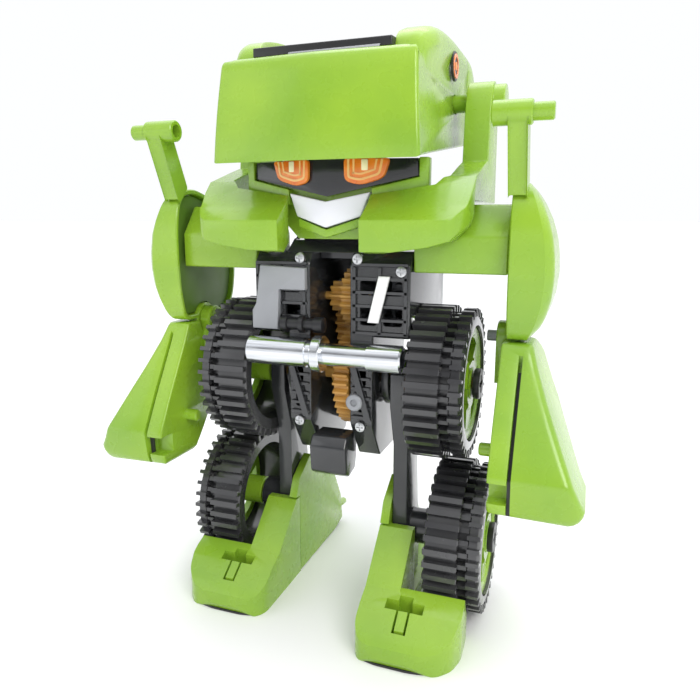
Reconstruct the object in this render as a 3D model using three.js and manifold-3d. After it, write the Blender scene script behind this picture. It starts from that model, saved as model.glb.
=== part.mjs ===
// Solar robot kit, built as its standing robot: a solar-driven gearbox torso on two striding legs,
// two peg-jointed arms, and a visor head that lifts on pivots in its collar.
// Millimetres, +Z up. The robot faces -Y and its left side is +X. The origin is on the floor,
// under the middle of the model's box.
import * as THREE from "three";
import { mergeVertices } from "three/addons/utils/BufferGeometryUtils.js";
import Module from "manifold-3d";

const wasm = await Module();
wasm.setup();

// ---------------------------------------------------------------- driving dimensions
const FIT_GAP = 0.3; // room between two pieces that touch
const RUN_GAP = 0.25; // radial room of a shaft in its hole
const ROUND_SIDES = 24;

const WHEEL = { radius: 21.2, root: 19.5, outerRow: 20.6, core: 18.9, bore: 15.9, bars: 24 };
const THIGH_WHEEL_X = [22.6, 37.4];
const SHIN_WHEEL_X = [29.2, 43.8];
const SHIN_AXIS = [-2.5, 21.9]; // Y and Z of the shin axle, from the leg's own middle
const AXLE_RADIUS = 1.8;
const HUB = { radius: 15.6, sleeve: 4.4, thickness: 2.6, inset: 0.8 };

const STRIDE_OFFSET = 3.5; // the left leg stands this far forward, the right leg this far back
const STRIDE_REACH = 5; // a leg's travel either way from the middle of its slot
const LEG_PLATE_X = [17.2, 21.4];

const SHELL_X = [5.8, 12.2]; // lower gearbox half, measured out from the middle
const SHOULDER_SHELL_X = 22.2; // how far out the upper gearbox half reaches
const TORSO = { front: -16.6, back: 15, bottom: 43, waist: 76, top: 101 };
const TUBE = { axis: [-21, 74], radius: 3.9, halfLength: 21.8 }; // the cross tube in front of the hips

const GEAR_MODULE = 0.75;
const CRANK_TEETH = 36;
const CRANK_AXIS = [-4, 65.2]; // Y and Z of the crank axle, which carries the thigh wheels too
const CRANK_RADIUS = STRIDE_REACH;
const CRANK_DISC_RADIUS = 7.8;
const CRANK_PIN_RADIUS = 1.6;
const MESH_GAP = 0.12; // added to each pair's centre distance

const ARM_AXIS = [-4, 103]; // Y and Z of the shoulder pegs
const ELBOW_AXIS = [-4, 78.8];
const ARM_INNER_X = 46.5;
const KNUCKLE = { x: [46.5, 49.6], radius: 5 }; // the upper arm's half of the elbow
const ELBOW_LUG = { x: [43.2, 46.2], radius: 4.2 }; // the forearm's half of the elbow
const ELBOW_PIN_RADIUS = 1.5;
const SHOULDER_PEG_RADIUS = 3.4;

const HEAD = { halfWidth: 27, wall: 2.3, seam: 27, hump: 18.6 };
const HEAD_AXIS = [12, 140.5]; // Y and Z of the visor pivots
const HEAD_PIN_RADIUS = 2.4;
const DECK = { front: [-25.5, 148.2], back: [33, 153.2] }; // the line the solar panel lies on

const FACE = { ridge: -18.5, slope: 0.235, halfWidth: 24 }; // front of the mask, seen from above

// ---------------------------------------------------------------- materials
const finish = (color, roughness, metalness = 0) =>
  new THREE.MeshStandardMaterial({ color, roughness, metalness });
const LIME = finish(0x96c83c, 0.35);
const SMOKE = finish(0x3a3c3e, 0.3);
const AMBER = finish(0xc98a2c, 0.4);
const BLACK = finish(0x17181a, 0.5);
const GREY = finish(0x8c9094, 0.4);
const SILVER = finish(0xc8ccd0, 0.25, 0.8);
const WHITE = finish(0xe8e8ea, 0.4);
const ORANGE = finish(0xf07a1e, 0.4);
const CELL = finish(0x10182c, 0.2);
const RED = finish(0x8c1c18, 0.5);

// ---------------------------------------------------------------- solids
function solidOf(geometry) {
  const bare = new THREE.BufferGeometry();
  bare.setAttribute("position", geometry.getAttribute("position"));
  if (geometry.index) bare.setIndex(geometry.index);
  const merged = mergeVertices(bare, 1e-4);
  return new wasm.Manifold(
    new wasm.Mesh({
      numProp: 3,
      vertProperties: new Float32Array(merged.getAttribute("position").array),
      triVerts: new Uint32Array(merged.index.array),
    }),
  );
}

function geometryOf(solid) {
  const mesh = solid.getMesh();
  const geometry = new THREE.BufferGeometry();
  geometry.setAttribute("position", new THREE.BufferAttribute(mesh.vertProperties, 3));
  geometry.setIndex(new THREE.BufferAttribute(mesh.triVerts, 1));
  geometry.computeVertexNormals();
  return geometry;
}

const join = (first, ...rest) => rest.reduce((whole, piece) => whole.add(piece), first);
const cut = (first, ...rest) => rest.reduce((whole, piece) => whole.subtract(piece), first);

// A box from its low and high edges along each axis.
function block([x0, x1], [y0, y1], [z0, z1]) {
  const box = new THREE.BoxGeometry(x1 - x0, y1 - y0, z1 - z0);
  box.translate((x0 + x1) / 2, (y0 + y1) / 2, (z0 + z1) / 2);
  return solidOf(box);
}

function shapeOf(outline, holes = []) {
  const points = (list) => list.map(([a, b]) => new THREE.Vector2(a, b));
  const shape = new THREE.Shape(points(outline));
  shape.holes = holes.map((hole) => new THREE.Path(points(hole)));
  return shape;
}

const axis = (x, y, z) => new THREE.Vector3(x, y, z);
const OUTLINE_IN_YZ = new THREE.Matrix4().makeBasis(axis(0, 1, 0), axis(0, 0, 1), axis(1, 0, 0));
const OUTLINE_IN_XZ = new THREE.Matrix4().makeBasis(axis(1, 0, 0), axis(0, 0, 1), axis(0, -1, 0));

function slab(outline, low, high, turn, shift, holes) {
  const geometry = new THREE.ExtrudeGeometry(shapeOf(outline, holes), {
    depth: high - low,
    bevelEnabled: false,
  });
  if (turn) geometry.applyMatrix4(turn);
  geometry.translate(...shift);
  return solidOf(geometry);
}

// A side outline of (Y, Z) points, thick along X.
const sideSlab = (outline, [x0, x1], holes) => slab(outline, x0, x1, OUTLINE_IN_YZ, [x0, 0, 0], holes);
// A front outline of (X, Z) points, thick along Y.
const frontSlab = (outline, [y0, y1], holes) => slab(outline, y0, y1, OUTLINE_IN_XZ, [0, y1, 0], holes);
// A top outline of (X, Y) points, thick along Z.
const topSlab = (outline, [z0, z1], holes) => slab(outline, z0, z1, null, [0, 0, z0], holes);

// A round bar along X, centred on (Y, Z).
function rod([x0, x1], [y, z], radius, sides = ROUND_SIDES) {
  const bar = new THREE.CylinderGeometry(radius, radius, x1 - x0, sides);
  bar.rotateZ(-Math.PI / 2);
  bar.translate((x0 + x1) / 2, y, z);
  return solidOf(bar);
}

// A round bar between any two points.
function strut(from, to, radius, sides = 12) {
  const start = axis(...from);
  const along = axis(...to).sub(start);
  const bar = new THREE.CylinderGeometry(radius, radius, along.length(), sides);
  bar.translate(0, along.length() / 2, 0);
  bar.applyQuaternion(new THREE.Quaternion().setFromUnitVectors(axis(0, 1, 0), along.clone().normalize()));
  bar.translate(...from);
  return solidOf(bar);
}

// Points along an arc, from one angle to another in degrees.
function arc([a, b], radius, from, to, steps) {
  return Array.from({ length: steps + 1 }, (_, i) => {
    const angle = THREE.MathUtils.degToRad(from + ((to - from) * i) / steps);
    return [a + radius * Math.cos(angle), b + radius * Math.sin(angle)];
  });
}

// ---------------------------------------------------------------- nodes
const robot = new THREE.Group();

function addNode(parent, name, solid, material) {
  const mesh = new THREE.Mesh(geometryOf(solid), material);
  mesh.name = name;
  parent.add(mesh);
}

function addMirrored(parent, name, solid, material) {
  const geometry = geometryOf(solid);
  geometry.scale(-1, 1, 1);
  const corners = geometry.index.array;
  for (let i = 0; i < corners.length; i += 3) {
    [corners[i + 1], corners[i + 2]] = [corners[i + 2], corners[i + 1]];
  }
  geometry.computeVertexNormals();
  const mesh = new THREE.Mesh(geometry, material);
  mesh.name = name;
  parent.add(mesh);
}

// The same solid on both sides: as it is on the left, mirrored on the right.
function addPair(parents, name, solid, material) {
  addNode(parents.left, `${name}_left`, solid, material);
  addMirrored(parents.right, `${name}_right`, solid, material);
}

const still = { left: robot, right: robot };

// ---------------------------------------------------------------- gear train
const MOTOR_TEETH = 9;
const FIRST_TEETH = 20;
const SMALL_TEETH = 10;
const SECOND_TEETH = 24;
const LANES = { outer: [1.1, 5.3], middle: [-3.4, 0.8] }; // along X
const GEAR_SHAFT = { radius: 1.2, halfLength: 7.4 };
const TRAIN_ANGLES = { second: 56, first: 141, motor: 16 }; // direction to the next axis, degrees

function along([y, z], distance, degrees) {
  const angle = THREE.MathUtils.degToRad(degrees);
  return [y + distance * Math.cos(angle), z + distance * Math.sin(angle)];
}
const spacing = (a, b) => (GEAR_MODULE * (a + b)) / 2 + MESH_GAP;
const SECOND_AXIS = along(CRANK_AXIS, spacing(CRANK_TEETH, SMALL_TEETH), TRAIN_ANGLES.second);
const FIRST_AXIS = along(SECOND_AXIS, spacing(SECOND_TEETH, SMALL_TEETH), TRAIN_ANGLES.first);
const MOTOR_AXIS = along(FIRST_AXIS, spacing(FIRST_TEETH, MOTOR_TEETH), TRAIN_ANGLES.motor);

// A spur gear's toothed outline: one tooth is centred on the angle phase, in degrees.
function gearOutline(centre, teeth, phase) {
  const pitch = 360 / teeth;
  const radius = (GEAR_MODULE * teeth) / 2;
  const root = radius - 1.15 * GEAR_MODULE;
  const tip = radius + 0.85 * GEAR_MODULE;
  const corners = [
    [root, -0.32],
    [tip, -0.12],
    [tip, 0.12],
    [root, 0.32],
  ];
  return Array.from({ length: teeth }, (_, tooth) =>
    corners.map(([distance, share]) => along(centre, distance, phase + (tooth + share) * pitch)),
  ).flat();
}

// The phase of a driven gear that puts its gap on the driver's tooth, where the two meet.
function meshedPhase(driverTeeth, driverPhase, drivenTeeth, direction) {
  const offset = (driverPhase - direction) / (360 / driverTeeth);
  return direction + 180 - (offset + 0.5) * (360 / drivenTeeth);
}

const SECOND_PHASE = meshedPhase(CRANK_TEETH, 0, SMALL_TEETH, TRAIN_ANGLES.second);
const FIRST_PHASE = meshedPhase(SECOND_TEETH, SECOND_PHASE, SMALL_TEETH, TRAIN_ANGLES.first);
const MOTOR_PHASE = meshedPhase(FIRST_TEETH, FIRST_PHASE, MOTOR_TEETH, TRAIN_ANGLES.motor);

// A large and a small gear on one shaft. Each is [teeth, lane].
function compoundGear(centre, phase, [wheelTeeth, wheelLane], [pinionTeeth, pinionLane]) {
  const reach = GEAR_SHAFT.halfLength;
  return join(
    sideSlab(gearOutline(centre, wheelTeeth, phase), wheelLane),
    sideSlab(gearOutline(centre, pinionTeeth, phase), pinionLane),
    rod([-reach, reach], centre, GEAR_SHAFT.radius, 16),
  );
}

function motorPinion() {
  const [low, high] = LANES.outer;
  const shaftHole = rod([low - 1, high - 1.2], MOTOR_AXIS, 1 + FIT_GAP, 12);
  return cut(sideSlab(gearOutline(MOTOR_AXIS, MOTOR_TEETH, MOTOR_PHASE), LANES.outer), shaftHole);
}

function crankGearAndAxle() {
  const reach = THIGH_WHEEL_X[1] - FIT_GAP;
  return join(
    sideSlab(gearOutline(CRANK_AXIS, CRANK_TEETH, 0), LANES.outer),
    rod([LANES.middle[0], LANES.outer[1]], CRANK_AXIS, 3.2, 20),
    rod([-reach, reach], CRANK_AXIS, AXLE_RADIUS, 20),
  );
}

// A crank disc with its pin, which stops just short of the leg plate that it drives.
function crankDisc(pinAngle) {
  const inner = SHELL_X[1] + 0.8;
  const outer = LEG_PLATE_X[0] - 2;
  const disc = cut(
    rod([inner, outer], CRANK_AXIS, CRANK_DISC_RADIUS),
    rod([inner - 1, outer + 1], CRANK_AXIS, AXLE_RADIUS + FIT_GAP, 20),
  );
  const pin = rod(
    [outer - 0.5, LEG_PLATE_X[0] - 0.4],
    along(CRANK_AXIS, CRANK_RADIUS, pinAngle),
    CRANK_PIN_RADIUS,
    14,
  );
  return join(disc, pin);
}

// ---------------------------------------------------------------- gearbox torso
const MOTOR = { radius: 9.3, x: [8.6, 20], endCap: [20.3, 21.5] };

// One half of the gearbox: a narrow lower half and a wider shoulder half.
function gearboxShell() {
  const lower = [
    [TORSO.front, 54],
    [-9, TORSO.bottom],
    [TORSO.back - 4, TORSO.bottom],
    [TORSO.back, 49],
    [TORSO.back, TORSO.waist + 4],
    [TORSO.front, TORSO.waist + 4],
  ];
  const upper = [
    [TORSO.front, TORSO.waist + 2.5],
    [TORSO.back + 8.5, TORSO.waist - 2],
    [TORSO.back + 8.5, 95],
    [TORSO.back + 2, TORSO.top],
    [TORSO.front + 3, TORSO.top],
    [TORSO.front, 97.5],
  ];
  const shaftHoles = [SECOND_AXIS, FIRST_AXIS].map((centre) =>
    rod([SHELL_X[0] - 1, GEAR_SHAFT.halfLength + FIT_GAP], centre, GEAR_SHAFT.radius + RUN_GAP, 16),
  );
  return cut(
    join(sideSlab(lower, SHELL_X), sideSlab(upper, [SHELL_X[0], SHOULDER_SHELL_X])),
    rod([SHELL_X[0] - 1, SHELL_X[1] + 1], CRANK_AXIS, AXLE_RADIUS + RUN_GAP, 20),
    ...shaftHoles,
  );
}

function motorShell() {
  const seat = rod([MOTOR.x[0] - FIT_GAP, SHOULDER_SHELL_X + 1], MOTOR_AXIS, MOTOR.radius + FIT_GAP);
  const shaftWay = rod([SHELL_X[0] - 1, MOTOR.x[0]], MOTOR_AXIS, 2.4, 16);
  return cut(gearboxShell(), seat, shaftWay);
}

// The motor lies on its side: a flat round can with its shaft towards the gears.
function motorCan() {
  const shaft = rod([FIT_GAP - LANES.outer[1] + 1.2, MOTOR.x[0] + 1], MOTOR_AXIS, 1, 12);
  return join(rod(MOTOR.x, MOTOR_AXIS, MOTOR.radius), shaft);
}

function motorEndCap() {
  const [low, high] = MOTOR.endCap;
  const [y, z] = MOTOR_AXIS;
  return join(
    rod(MOTOR.endCap, MOTOR_AXIS, MOTOR.radius - 0.4),
    block([low + 0.6, high + 0.7], [y + 3, y + 5], [z + 2, z + 4]),
    block([low + 0.6, high + 0.7], [y - 5, y - 3], [z + 2, z + 4]),
  );
}

// The flat plate on the right of the chest, an upside-down L with a stepped foot.
function chestPlate() {
  const outline = [
    [-22.2, 79.5],
    [-14.5, 79.5],
    [-14, 90.5],
    [-6.2, 90.5],
    [-6.2, 96.4],
    [-19.5, 97],
    [-21, 86.5],
    [-22.2, 84.5],
  ];
  return frontSlab(outline, [TORSO.front - 2.4, TORSO.front - FIT_GAP]);
}

function hipCrossTube() {
  const [y, z] = TUBE.axis;
  const tube = rod([-TUBE.halfLength, TUBE.halfLength], TUBE.axis, TUBE.radius);
  const bore = rod([-TUBE.halfLength - 1, TUBE.halfLength + 1], TUBE.axis, TUBE.radius - 1.1, 20);
  const lugs = [-10, 10].map((x) =>
    block([x - 2, x + 2], [y + TUBE.radius - 1, TORSO.front - FIT_GAP], [z - 2.5, z + 2.5]),
  );
  const ring = rod([-2.6, 0.1], TUBE.axis, TUBE.radius + 1);
  return cut(join(tube, ring, ...lugs), bore);
}

function neckBracket() {
  const outline = [
    [-11.2, 118],
    [-11.2, 104],
    [-8, TORSO.top + FIT_GAP],
    [10, TORSO.top + FIT_GAP],
    [12, 104],
    [12, 114],
    [6, 118],
  ];
  return sideSlab(outline, [-10, 10]);
}

function terminalBlock() {
  const base = block([-7, 7], [12 + FIT_GAP, 15.5], [105, 111.5]);
  const slots = [-3.5, 3.5].map((x) => block([x - 1.2, x + 1.2], [14.3, 17], [106.5, 112]));
  return cut(base, ...slots);
}

function crotchGuard() {
  const outline = [
    [-17.5, 50],
    [-19.5, 47],
    [-18.5, 39.5],
    [-16, 38],
    [-11, 39],
    [-9.6, 43],
    [-9.6, 50],
  ];
  return sideSlab(outline, [-5.4, 5.4]);
}

const WIRE_RADIUS = 0.6;
const WIRE_SIDES = 6;
function wire(points, steps) {
  const route = new THREE.CatmullRomCurve3(points.map((point) => axis(...point)));
  const section = shapeOf(arc([0, 0], WIRE_RADIUS, 0, 360 - 360 / WIRE_SIDES, WIRE_SIDES - 1));
  return solidOf(new THREE.ExtrudeGeometry(section, { steps, bevelEnabled: false, extrudePath: route }));
}

// Each motor lead climbs the outside of the right shell and runs over its top to the terminal block.
const RED_ROUTE = [
  [-23.2, 10.6, 91.8],
  [-23.6, 13, 93.6],
  [-23.6, 16, 98],
  [-21, 18.8, 103.8],
  [-15, 19, 104.4],
  [-9.4, 16.6, 107],
  [-7.9, 14.6, 108.6],
];
const BLACK_ROUTE = [
  [-23.2, 2.6, 91.8],
  [-23.8, 6.4, 92.4],
  [-24, 10.2, 97],
  [-21.4, 12, 104.2],
  [-16, 13.6, 104.2],
  [-10, 14.2, 105],
  [-7.9, 13.8, 106.4],
];

function shoulderBeam() {
  const outline = [
    [-15, 95.7],
    [7, 95.7],
    [7, 105],
    [3, 112.8],
    [-9, 112.8],
    [-15, 105],
  ];
  const beam = sideSlab(outline, [SHOULDER_SHELL_X + FIT_GAP, ARM_INNER_X - FIT_GAP]);
  return join(beam, rod([ARM_INNER_X - 1, ARM_INNER_X + 2.5], ARM_AXIS, SHOULDER_PEG_RADIUS));
}

// ---------------------------------------------------------------- face
// A plate bent to the face's shallow V, seen from above. It starts behind the front by setback.
function faceBand(setback, thickness, [z0, z1] = [95, 130]) {
  const front = (x) => FACE.ridge + setback + Math.abs(x) * FACE.slope;
  const edge = FACE.halfWidth + 6;
  const outline = [
    [-edge, front(edge)],
    [0, front(0)],
    [edge, front(edge)],
    [edge, front(edge) + thickness],
    [0, front(0) + thickness],
    [-edge, front(edge) + thickness],
  ];
  return topSlab(outline, [z0, z1]);
}

function facePlate(outline, setback, thickness) {
  return faceBand(setback, thickness).intersect(frontSlab(outline, [-40, 10]));
}

// A half outline with its mirror image added.
const mirroredOutline = (half) => [...half, ...half.slice().reverse().map(([x, z]) => [-x, z])];
const MASK_EDGE = { sideZ: 120, ridgeZ: 114.9 }; // the V of the mask's lower edge

function faceMask() {
  const half = [
    [22.6, 124.2],
    [22.9, MASK_EDGE.sideZ],
    [0.01, MASK_EDGE.ridgeZ],
  ];
  return facePlate(mirroredOutline(half), 0, 2);
}

function eye() {
  const outline = [
    [4.8, 124.2],
    [4.9, 118.6],
    [9, 117.6],
    [14.8, 119.4],
    [16.2, 124.2],
  ];
  return facePlate(outline, -1.3, 1);
}

function mouthPlate() {
  const outline = [
    [11.2, 115.9],
    [8.9, 109.9],
    [0, 107],
    [-8.9, 109.9],
    [-11.2, 115.9],
    [0, 113.6],
  ];
  return facePlate(outline, -0.9, 2.2);
}

function chinGuard() {
  const outline = [
    [8.6, 109.4],
    [8.6, 107.2],
    [0, 104.4],
    [-8.6, 107.2],
    [-8.6, 109.4],
    [0, 106.5],
  ];
  return facePlate(outline, -0.5, 2.4);
}

// The green carrier behind the face: a back plate, a post each side and a rail under each eye.
function faceFrame() {
  const backPlate = facePlate(
    [
      [25, 124.4],
      [25, 114],
      [20, 113.4],
      [10, 104],
      [-10, 104],
      [-20, 113.4],
      [-25, 114],
      [-25, 124.4],
    ],
    2.3,
    2,
  );
  const post = [
    [23.2, 124.4],
    [25.4, 124.4],
    [25.4, 117],
    [11.6, 113],
    [11.6, 116.9],
    [23.2, 119.6],
  ];
  const posts = [post, post.map(([x, z]) => [-x, z]).reverse()];
  return join(backPlate, ...posts.map((outline) => facePlate(outline, -0.6, 3.4)));
}

// One half of the jaw collar: a front bar, a side wall that climbs to the rear, and a pivot tower.
function collar() {
  const side = [
    [-25, 101.2],
    [-25.2, 108.9],
    [-24.2, 109.6],
    [-19.6, 112.8],
    [-13.4, 119.4],
    [-2, 122.8],
    [3.8, 124.4],
    [5.4, 138],
    ...arc(HEAD_AXIS, 5.4, 165, 15, 8),
    [19, 134],
    [20, 113.6],
    [-14.6, 113.6],
    [-15.6, 104],
    [-20.8, 100.6],
  ];
  const plan = [
    [11, -26],
    [31, -26],
    [34.2, -24.3],
    [36.6, -20.8],
    [37.5, -16],
    [37.5, 21],
    [30.6, 21],
    [30.6, -12],
    [27.6, -15],
    [11.4, -17.2],
  ];
  const front = [
    [10, 99],
    [18, 101],
    [28, 102.4],
    [33.5, 104],
    [36.8, 107.5],
    [38.4, 113],
    [42, 150],
    [10, 150],
  ];
  const outer = sideSlab(side, [10, 42]).intersect(topSlab(plan, [95, 150]));
  return join(
    outer.intersect(frontSlab(front, [-30, 30])),
    rod([31, 40.6], HEAD_AXIS, 4.6),
    rod([HEAD.halfWidth - 1.8, 32], HEAD_AXIS, HEAD_PIN_RADIUS, 20),
  );
}

// ---------------------------------------------------------------- head
function headSolid() {
  const body = [
    [-30, 123],
    [-27.4, 146.6],
    DECK.front,
    DECK.back,
    [41.2, 145],
    [38.6, 136.6],
    [31, 131.4],
  ];
  const hump = [
    [-19.6, 147],
    [-18.2, 152.6],
    [-10, 155.6],
    [9.5, 157.5],
    [33, 157.5],
    [38.6, 153.6],
    [41.2, 145],
    [33, 144],
  ];
  const width = HEAD.halfWidth;
  const front = [
    [-width, 120],
    [width, 120],
    [width, 153.4],
    [width - 3, 158],
    [-width + 3, 158],
    [-width, 153.4],
  ];
  const brow = [
    [-width - 0.2, 120],
    [width + 0.2, 120],
    [width - 1.8, 149],
    [-width + 1.8, 149],
  ];
  const humps = [-1, 1].map((side) =>
    sideSlab(hump, side > 0 ? [HEAD.hump, width] : [-width, -HEAD.hump]),
  );
  const outer = join(sideSlab(body, [-width, width]), ...humps);
  const room = join(frontSlab(brow, [-31, -15]), frontSlab(front, [-15, 42]));
  return outer.intersect(room);
}

function headHollow() {
  const inner = [
    [-27.6, 110],
    [-25.3, 143.6],
    [-23.6, 145.6],
    [32, 150.4],
    [38.4, 144.4],
    [36.4, 138],
    [29, 133.4],
    [29, 110],
  ];
  const half = HEAD.halfWidth - HEAD.wall;
  const pinHoles = rod([-HEAD.halfWidth - 1, HEAD.halfWidth + 1], HEAD_AXIS, HEAD_PIN_RADIUS + RUN_GAP, 20);
  return join(sideSlab(inner, [-half, half]), pinHoles);
}

const headShell = () => cut(headSolid(), headHollow());
const HEAD_SPAN = { x: [-30, 30], z: [110, 160] };

function headFrontShell() {
  return headShell().intersect(block(HEAD_SPAN.x, [-35, HEAD.seam], HEAD_SPAN.z));
}

function headRearShell() {
  return headShell().intersect(block(HEAD_SPAN.x, [HEAD.seam + FIT_GAP, 45], HEAD_SPAN.z));
}

// A plate lying on the head's sloping deck, between two distances from the deck.
function deckPlate(halfWidth, [y0, y1], [low, high]) {
  const [[fy, fz], [by, bz]] = [DECK.front, DECK.back];
  const rise = (bz - fz) / (by - fy);
  const height = (y) => fz + (y - fy) * rise;
  const outline = [
    [y0, height(y0) + low],
    [y1, height(y1) + low],
    [y1, height(y1) + high],
    [y0, height(y0) + high],
  ];
  return sideSlab(outline, [-halfWidth, halfWidth]);
}

const BEZEL = { halfWidth: 18.2, y: [-22, 31], height: 2.6, rim: 1.8, floor: 1.1 };

function panelBezel() {
  const recess = deckPlate(
    BEZEL.halfWidth - BEZEL.rim,
    [BEZEL.y[0] + BEZEL.rim, BEZEL.y[1] - BEZEL.rim],
    [BEZEL.floor, BEZEL.height + 1],
  );
  return cut(deckPlate(BEZEL.halfWidth, BEZEL.y, [FIT_GAP, BEZEL.height]), recess);
}

function solarPanel() {
  const inset = BEZEL.rim + FIT_GAP;
  return deckPlate(
    BEZEL.halfWidth - inset,
    [BEZEL.y[0] + inset, BEZEL.y[1] - inset],
    [BEZEL.floor + FIT_GAP, BEZEL.height - 0.2],
  );
}

const BADGE = { centre: [7, 149.4], radius: 3.8, thickness: 0.5 };

function sideBadge() {
  const inner = HEAD.halfWidth + 0.05;
  return rod([inner, inner + BADGE.thickness], BADGE.centre, BADGE.radius);
}

// ---------------------------------------------------------------- wheels
const circle = (centre, radius, sides) => arc(centre, radius, 0, 360 - 360 / sides, sides - 1);

// Cross bars round the inner part of the tread, and a lower plain row outside a groove.
function tyre([x0, x1], centre) {
  const pitch = 360 / WHEEL.bars;
  const barCorners = [
    [WHEEL.root, -0.3],
    [WHEEL.radius, -0.22],
    [WHEEL.radius, 0.22],
    [WHEEL.root, 0.3],
  ];
  const bars = Array.from({ length: WHEEL.bars }, (_, bar) =>
    barCorners.map(([distance, share]) => along(centre, distance, (bar + share) * pitch)),
  ).flat();
  const width = x1 - x0;
  const bore = circle(centre, WHEEL.bore, ROUND_SIDES);
  const ring = (radius) => circle(centre, radius, WHEEL.bars);
  return join(
    sideSlab(bars, [x0, x0 + 0.64 * width], [bore]),
    sideSlab(ring(WHEEL.core), [x0 + 0.6 * width, x1 - 0.2 * width], [bore]),
    sideSlab(ring(WHEEL.outerRow), [x1 - 0.26 * width, x1], [bore]),
  );
}

// A disc with three windows, on a sleeve that turns on its axle.
function wheelHub([x0, x1], [y, z]) {
  const face = x1 - HUB.inset;
  const windows = [90, 210, 330].map((angle) => [
    ...arc([y, z], HUB.radius - 3, angle - 42, angle + 42, 5),
    ...arc([y, z], HUB.sleeve + 1.8, angle + 26, angle - 26, 2),
  ]);
  const disc = sideSlab(circle([y, z], HUB.radius, ROUND_SIDES), [face - HUB.thickness, face], windows);
  const sleeve = rod([x0 + 0.6, face], [y, z], HUB.sleeve, 20);
  return cut(join(disc, sleeve), rod([x0 - 1, x1 + 1], [y, z], AXLE_RADIUS + FIT_GAP, 20));
}

// The round cap on the end of a wheel's axle, with a cross cut in its face.
function crossCap([x0, x1], [y, z], radius) {
  return cut(
    rod([x0, x1], [y, z], radius, 20),
    block([x1 - 0.7, x1 + 1], [y - 2.4, y + 2.4], [z - 0.6, z + 0.6]),
    block([x1 - 0.7, x1 + 1], [y - 0.6, y + 0.6], [z - 2.4, z + 2.4]),
  );
}

const CAP_RADIUS = 4.2;

function thighAxleCap() {
  const outer = THIGH_WHEEL_X[1];
  return crossCap([outer, outer + 1.8], CRANK_AXIS, CAP_RADIUS);
}

function shinAxle() {
  const [x0, x1] = SHIN_WHEEL_X;
  return join(
    rod([x0, x1], SHIN_AXIS, AXLE_RADIUS, 20),
    crossCap([x1 - HUB.inset + FIT_GAP, x1 + 1.2], SHIN_AXIS, CAP_RADIUS),
  );
}

// ---------------------------------------------------------------- legs
const BOOT = { x: [14.5, 24], back: -10, top: 25 };
const TOE_BACK = -17.4;

// The leg plate slides on the crank axle by its level slot; the crank pin runs in the upright groove.
function legPlate() {
  const [y, z] = CRANK_AXIS;
  const outline = [
    [-9.6, 4.3],
    [5, 4.3],
    [6, 16],
    [3.5, 28],
    [1.5, 44],
    [5.5, 57],
    [5.5, 69.1],
    [0, 69.1],
    [0, 73.4],
    [-8, 73.4],
    [-8, 69.1],
    [-13.5, 69.1],
    [-13.5, 60],
    [-9.6, 48],
  ];
  const slotRound = AXLE_RADIUS + FIT_GAP;
  const slot = [
    ...arc([y + STRIDE_REACH + FIT_GAP, z], slotRound, -90, 90, 6),
    ...arc([y - STRIDE_REACH - FIT_GAP, z], slotRound, 90, 270, 6),
  ];
  const groove = block(
    [LEG_PLATE_X[0] - 1, LEG_PLATE_X[0] + 1.6],
    [y - CRANK_PIN_RADIUS - FIT_GAP, y + CRANK_PIN_RADIUS + FIT_GAP],
    [z - CRANK_RADIUS - 2.2, z + CRANK_RADIUS + 5],
  );
  const boss = rod([LEG_PLATE_X[1] - 1, SHIN_WHEEL_X[0] - FIT_GAP], SHIN_AXIS, 5);
  return join(cut(sideSlab(outline, LEG_PLATE_X, [slot]), groove), boss);
}

// Toe plate, sloping boot and the narrow sole under the leg plate.
function foot() {
  const toePlan = [
    [14.5, -33.5],
    [16.2, -36.6],
    [21, -37.7],
    [30, -37.7],
    [36.5, -36.4],
    [39.6, -33],
    [41, -28],
    [40.6, TOE_BACK],
    [14.5, TOE_BACK],
  ];
  const toeSide = [
    [-36.6, 0],
    [-38, 2.2],
    [-37.2, 5.4],
    [-35.2, 7],
    [-23.4, 14],
    [-21.2, 10],
    [-17.9, 6.4],
    [TOE_BACK, 5],
    [TOE_BACK, 0],
  ];
  const bootSide = [
    [-30, 0],
    [-29, 9],
    [-24.5, 13.6],
    [-12.3, BOOT.top],
    [BOOT.back, BOOT.top],
    [BOOT.back, 0],
  ];
  const sole = [
    [17.2, BOOT.back - 1],
    [24, BOOT.back - 1],
    [24, 8],
    [21, 25],
    [17.2, 27],
  ];
  const toe = sideSlab(toeSide, [12, 42]).intersect(topSlab(toePlan, [0, 16]));
  return cut(join(toe, sideSlab(bootSide, BOOT.x), topSlab(sole, [0, 4])), ...toeCross());
}

// A cross-shaped socket in the toe. Its long front arm is a groove round a tongue.
function toeCross() {
  const x = 26.2;
  const depth = [5.5, 18];
  return [
    block([x - 1.8, x + 1.8], [-29, -25.4], depth),
    block([x - 5, x + 5], [-29.4, -26.8], depth),
    block([x - 1.8, x - 1.2], [-34.2, -29], depth),
    block([x + 1.2, x + 1.8], [-34.2, -29], depth),
    block([x - 1.8, x + 1.8], [-34.2, -33.6], depth),
  ];
}

// The guard on the inner side of the ankle and heel, with two peaks and a small heel peg.
function heelShield() {
  const outline = [
    [-9.7, 0.4],
    [-9.7, 25.4],
    [-12.3, 25.6],
    [-9.5, 31],
    [-1.2, 36],
    [1.8, 31.6],
    [5, 28],
    [8.4, 26.6],
    [14.8, 29.3],
    [25.4, 11.2],
    [26.8, 1.8],
    [20, 0.4],
  ];
  return join(
    sideSlab(outline, [BOOT.x[0], LEG_PLATE_X[0] - FIT_GAP]),
    strut([15.6, 24.5, 7], [15.6, 31, 6.2], 1.2, 10),
  );
}

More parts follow.
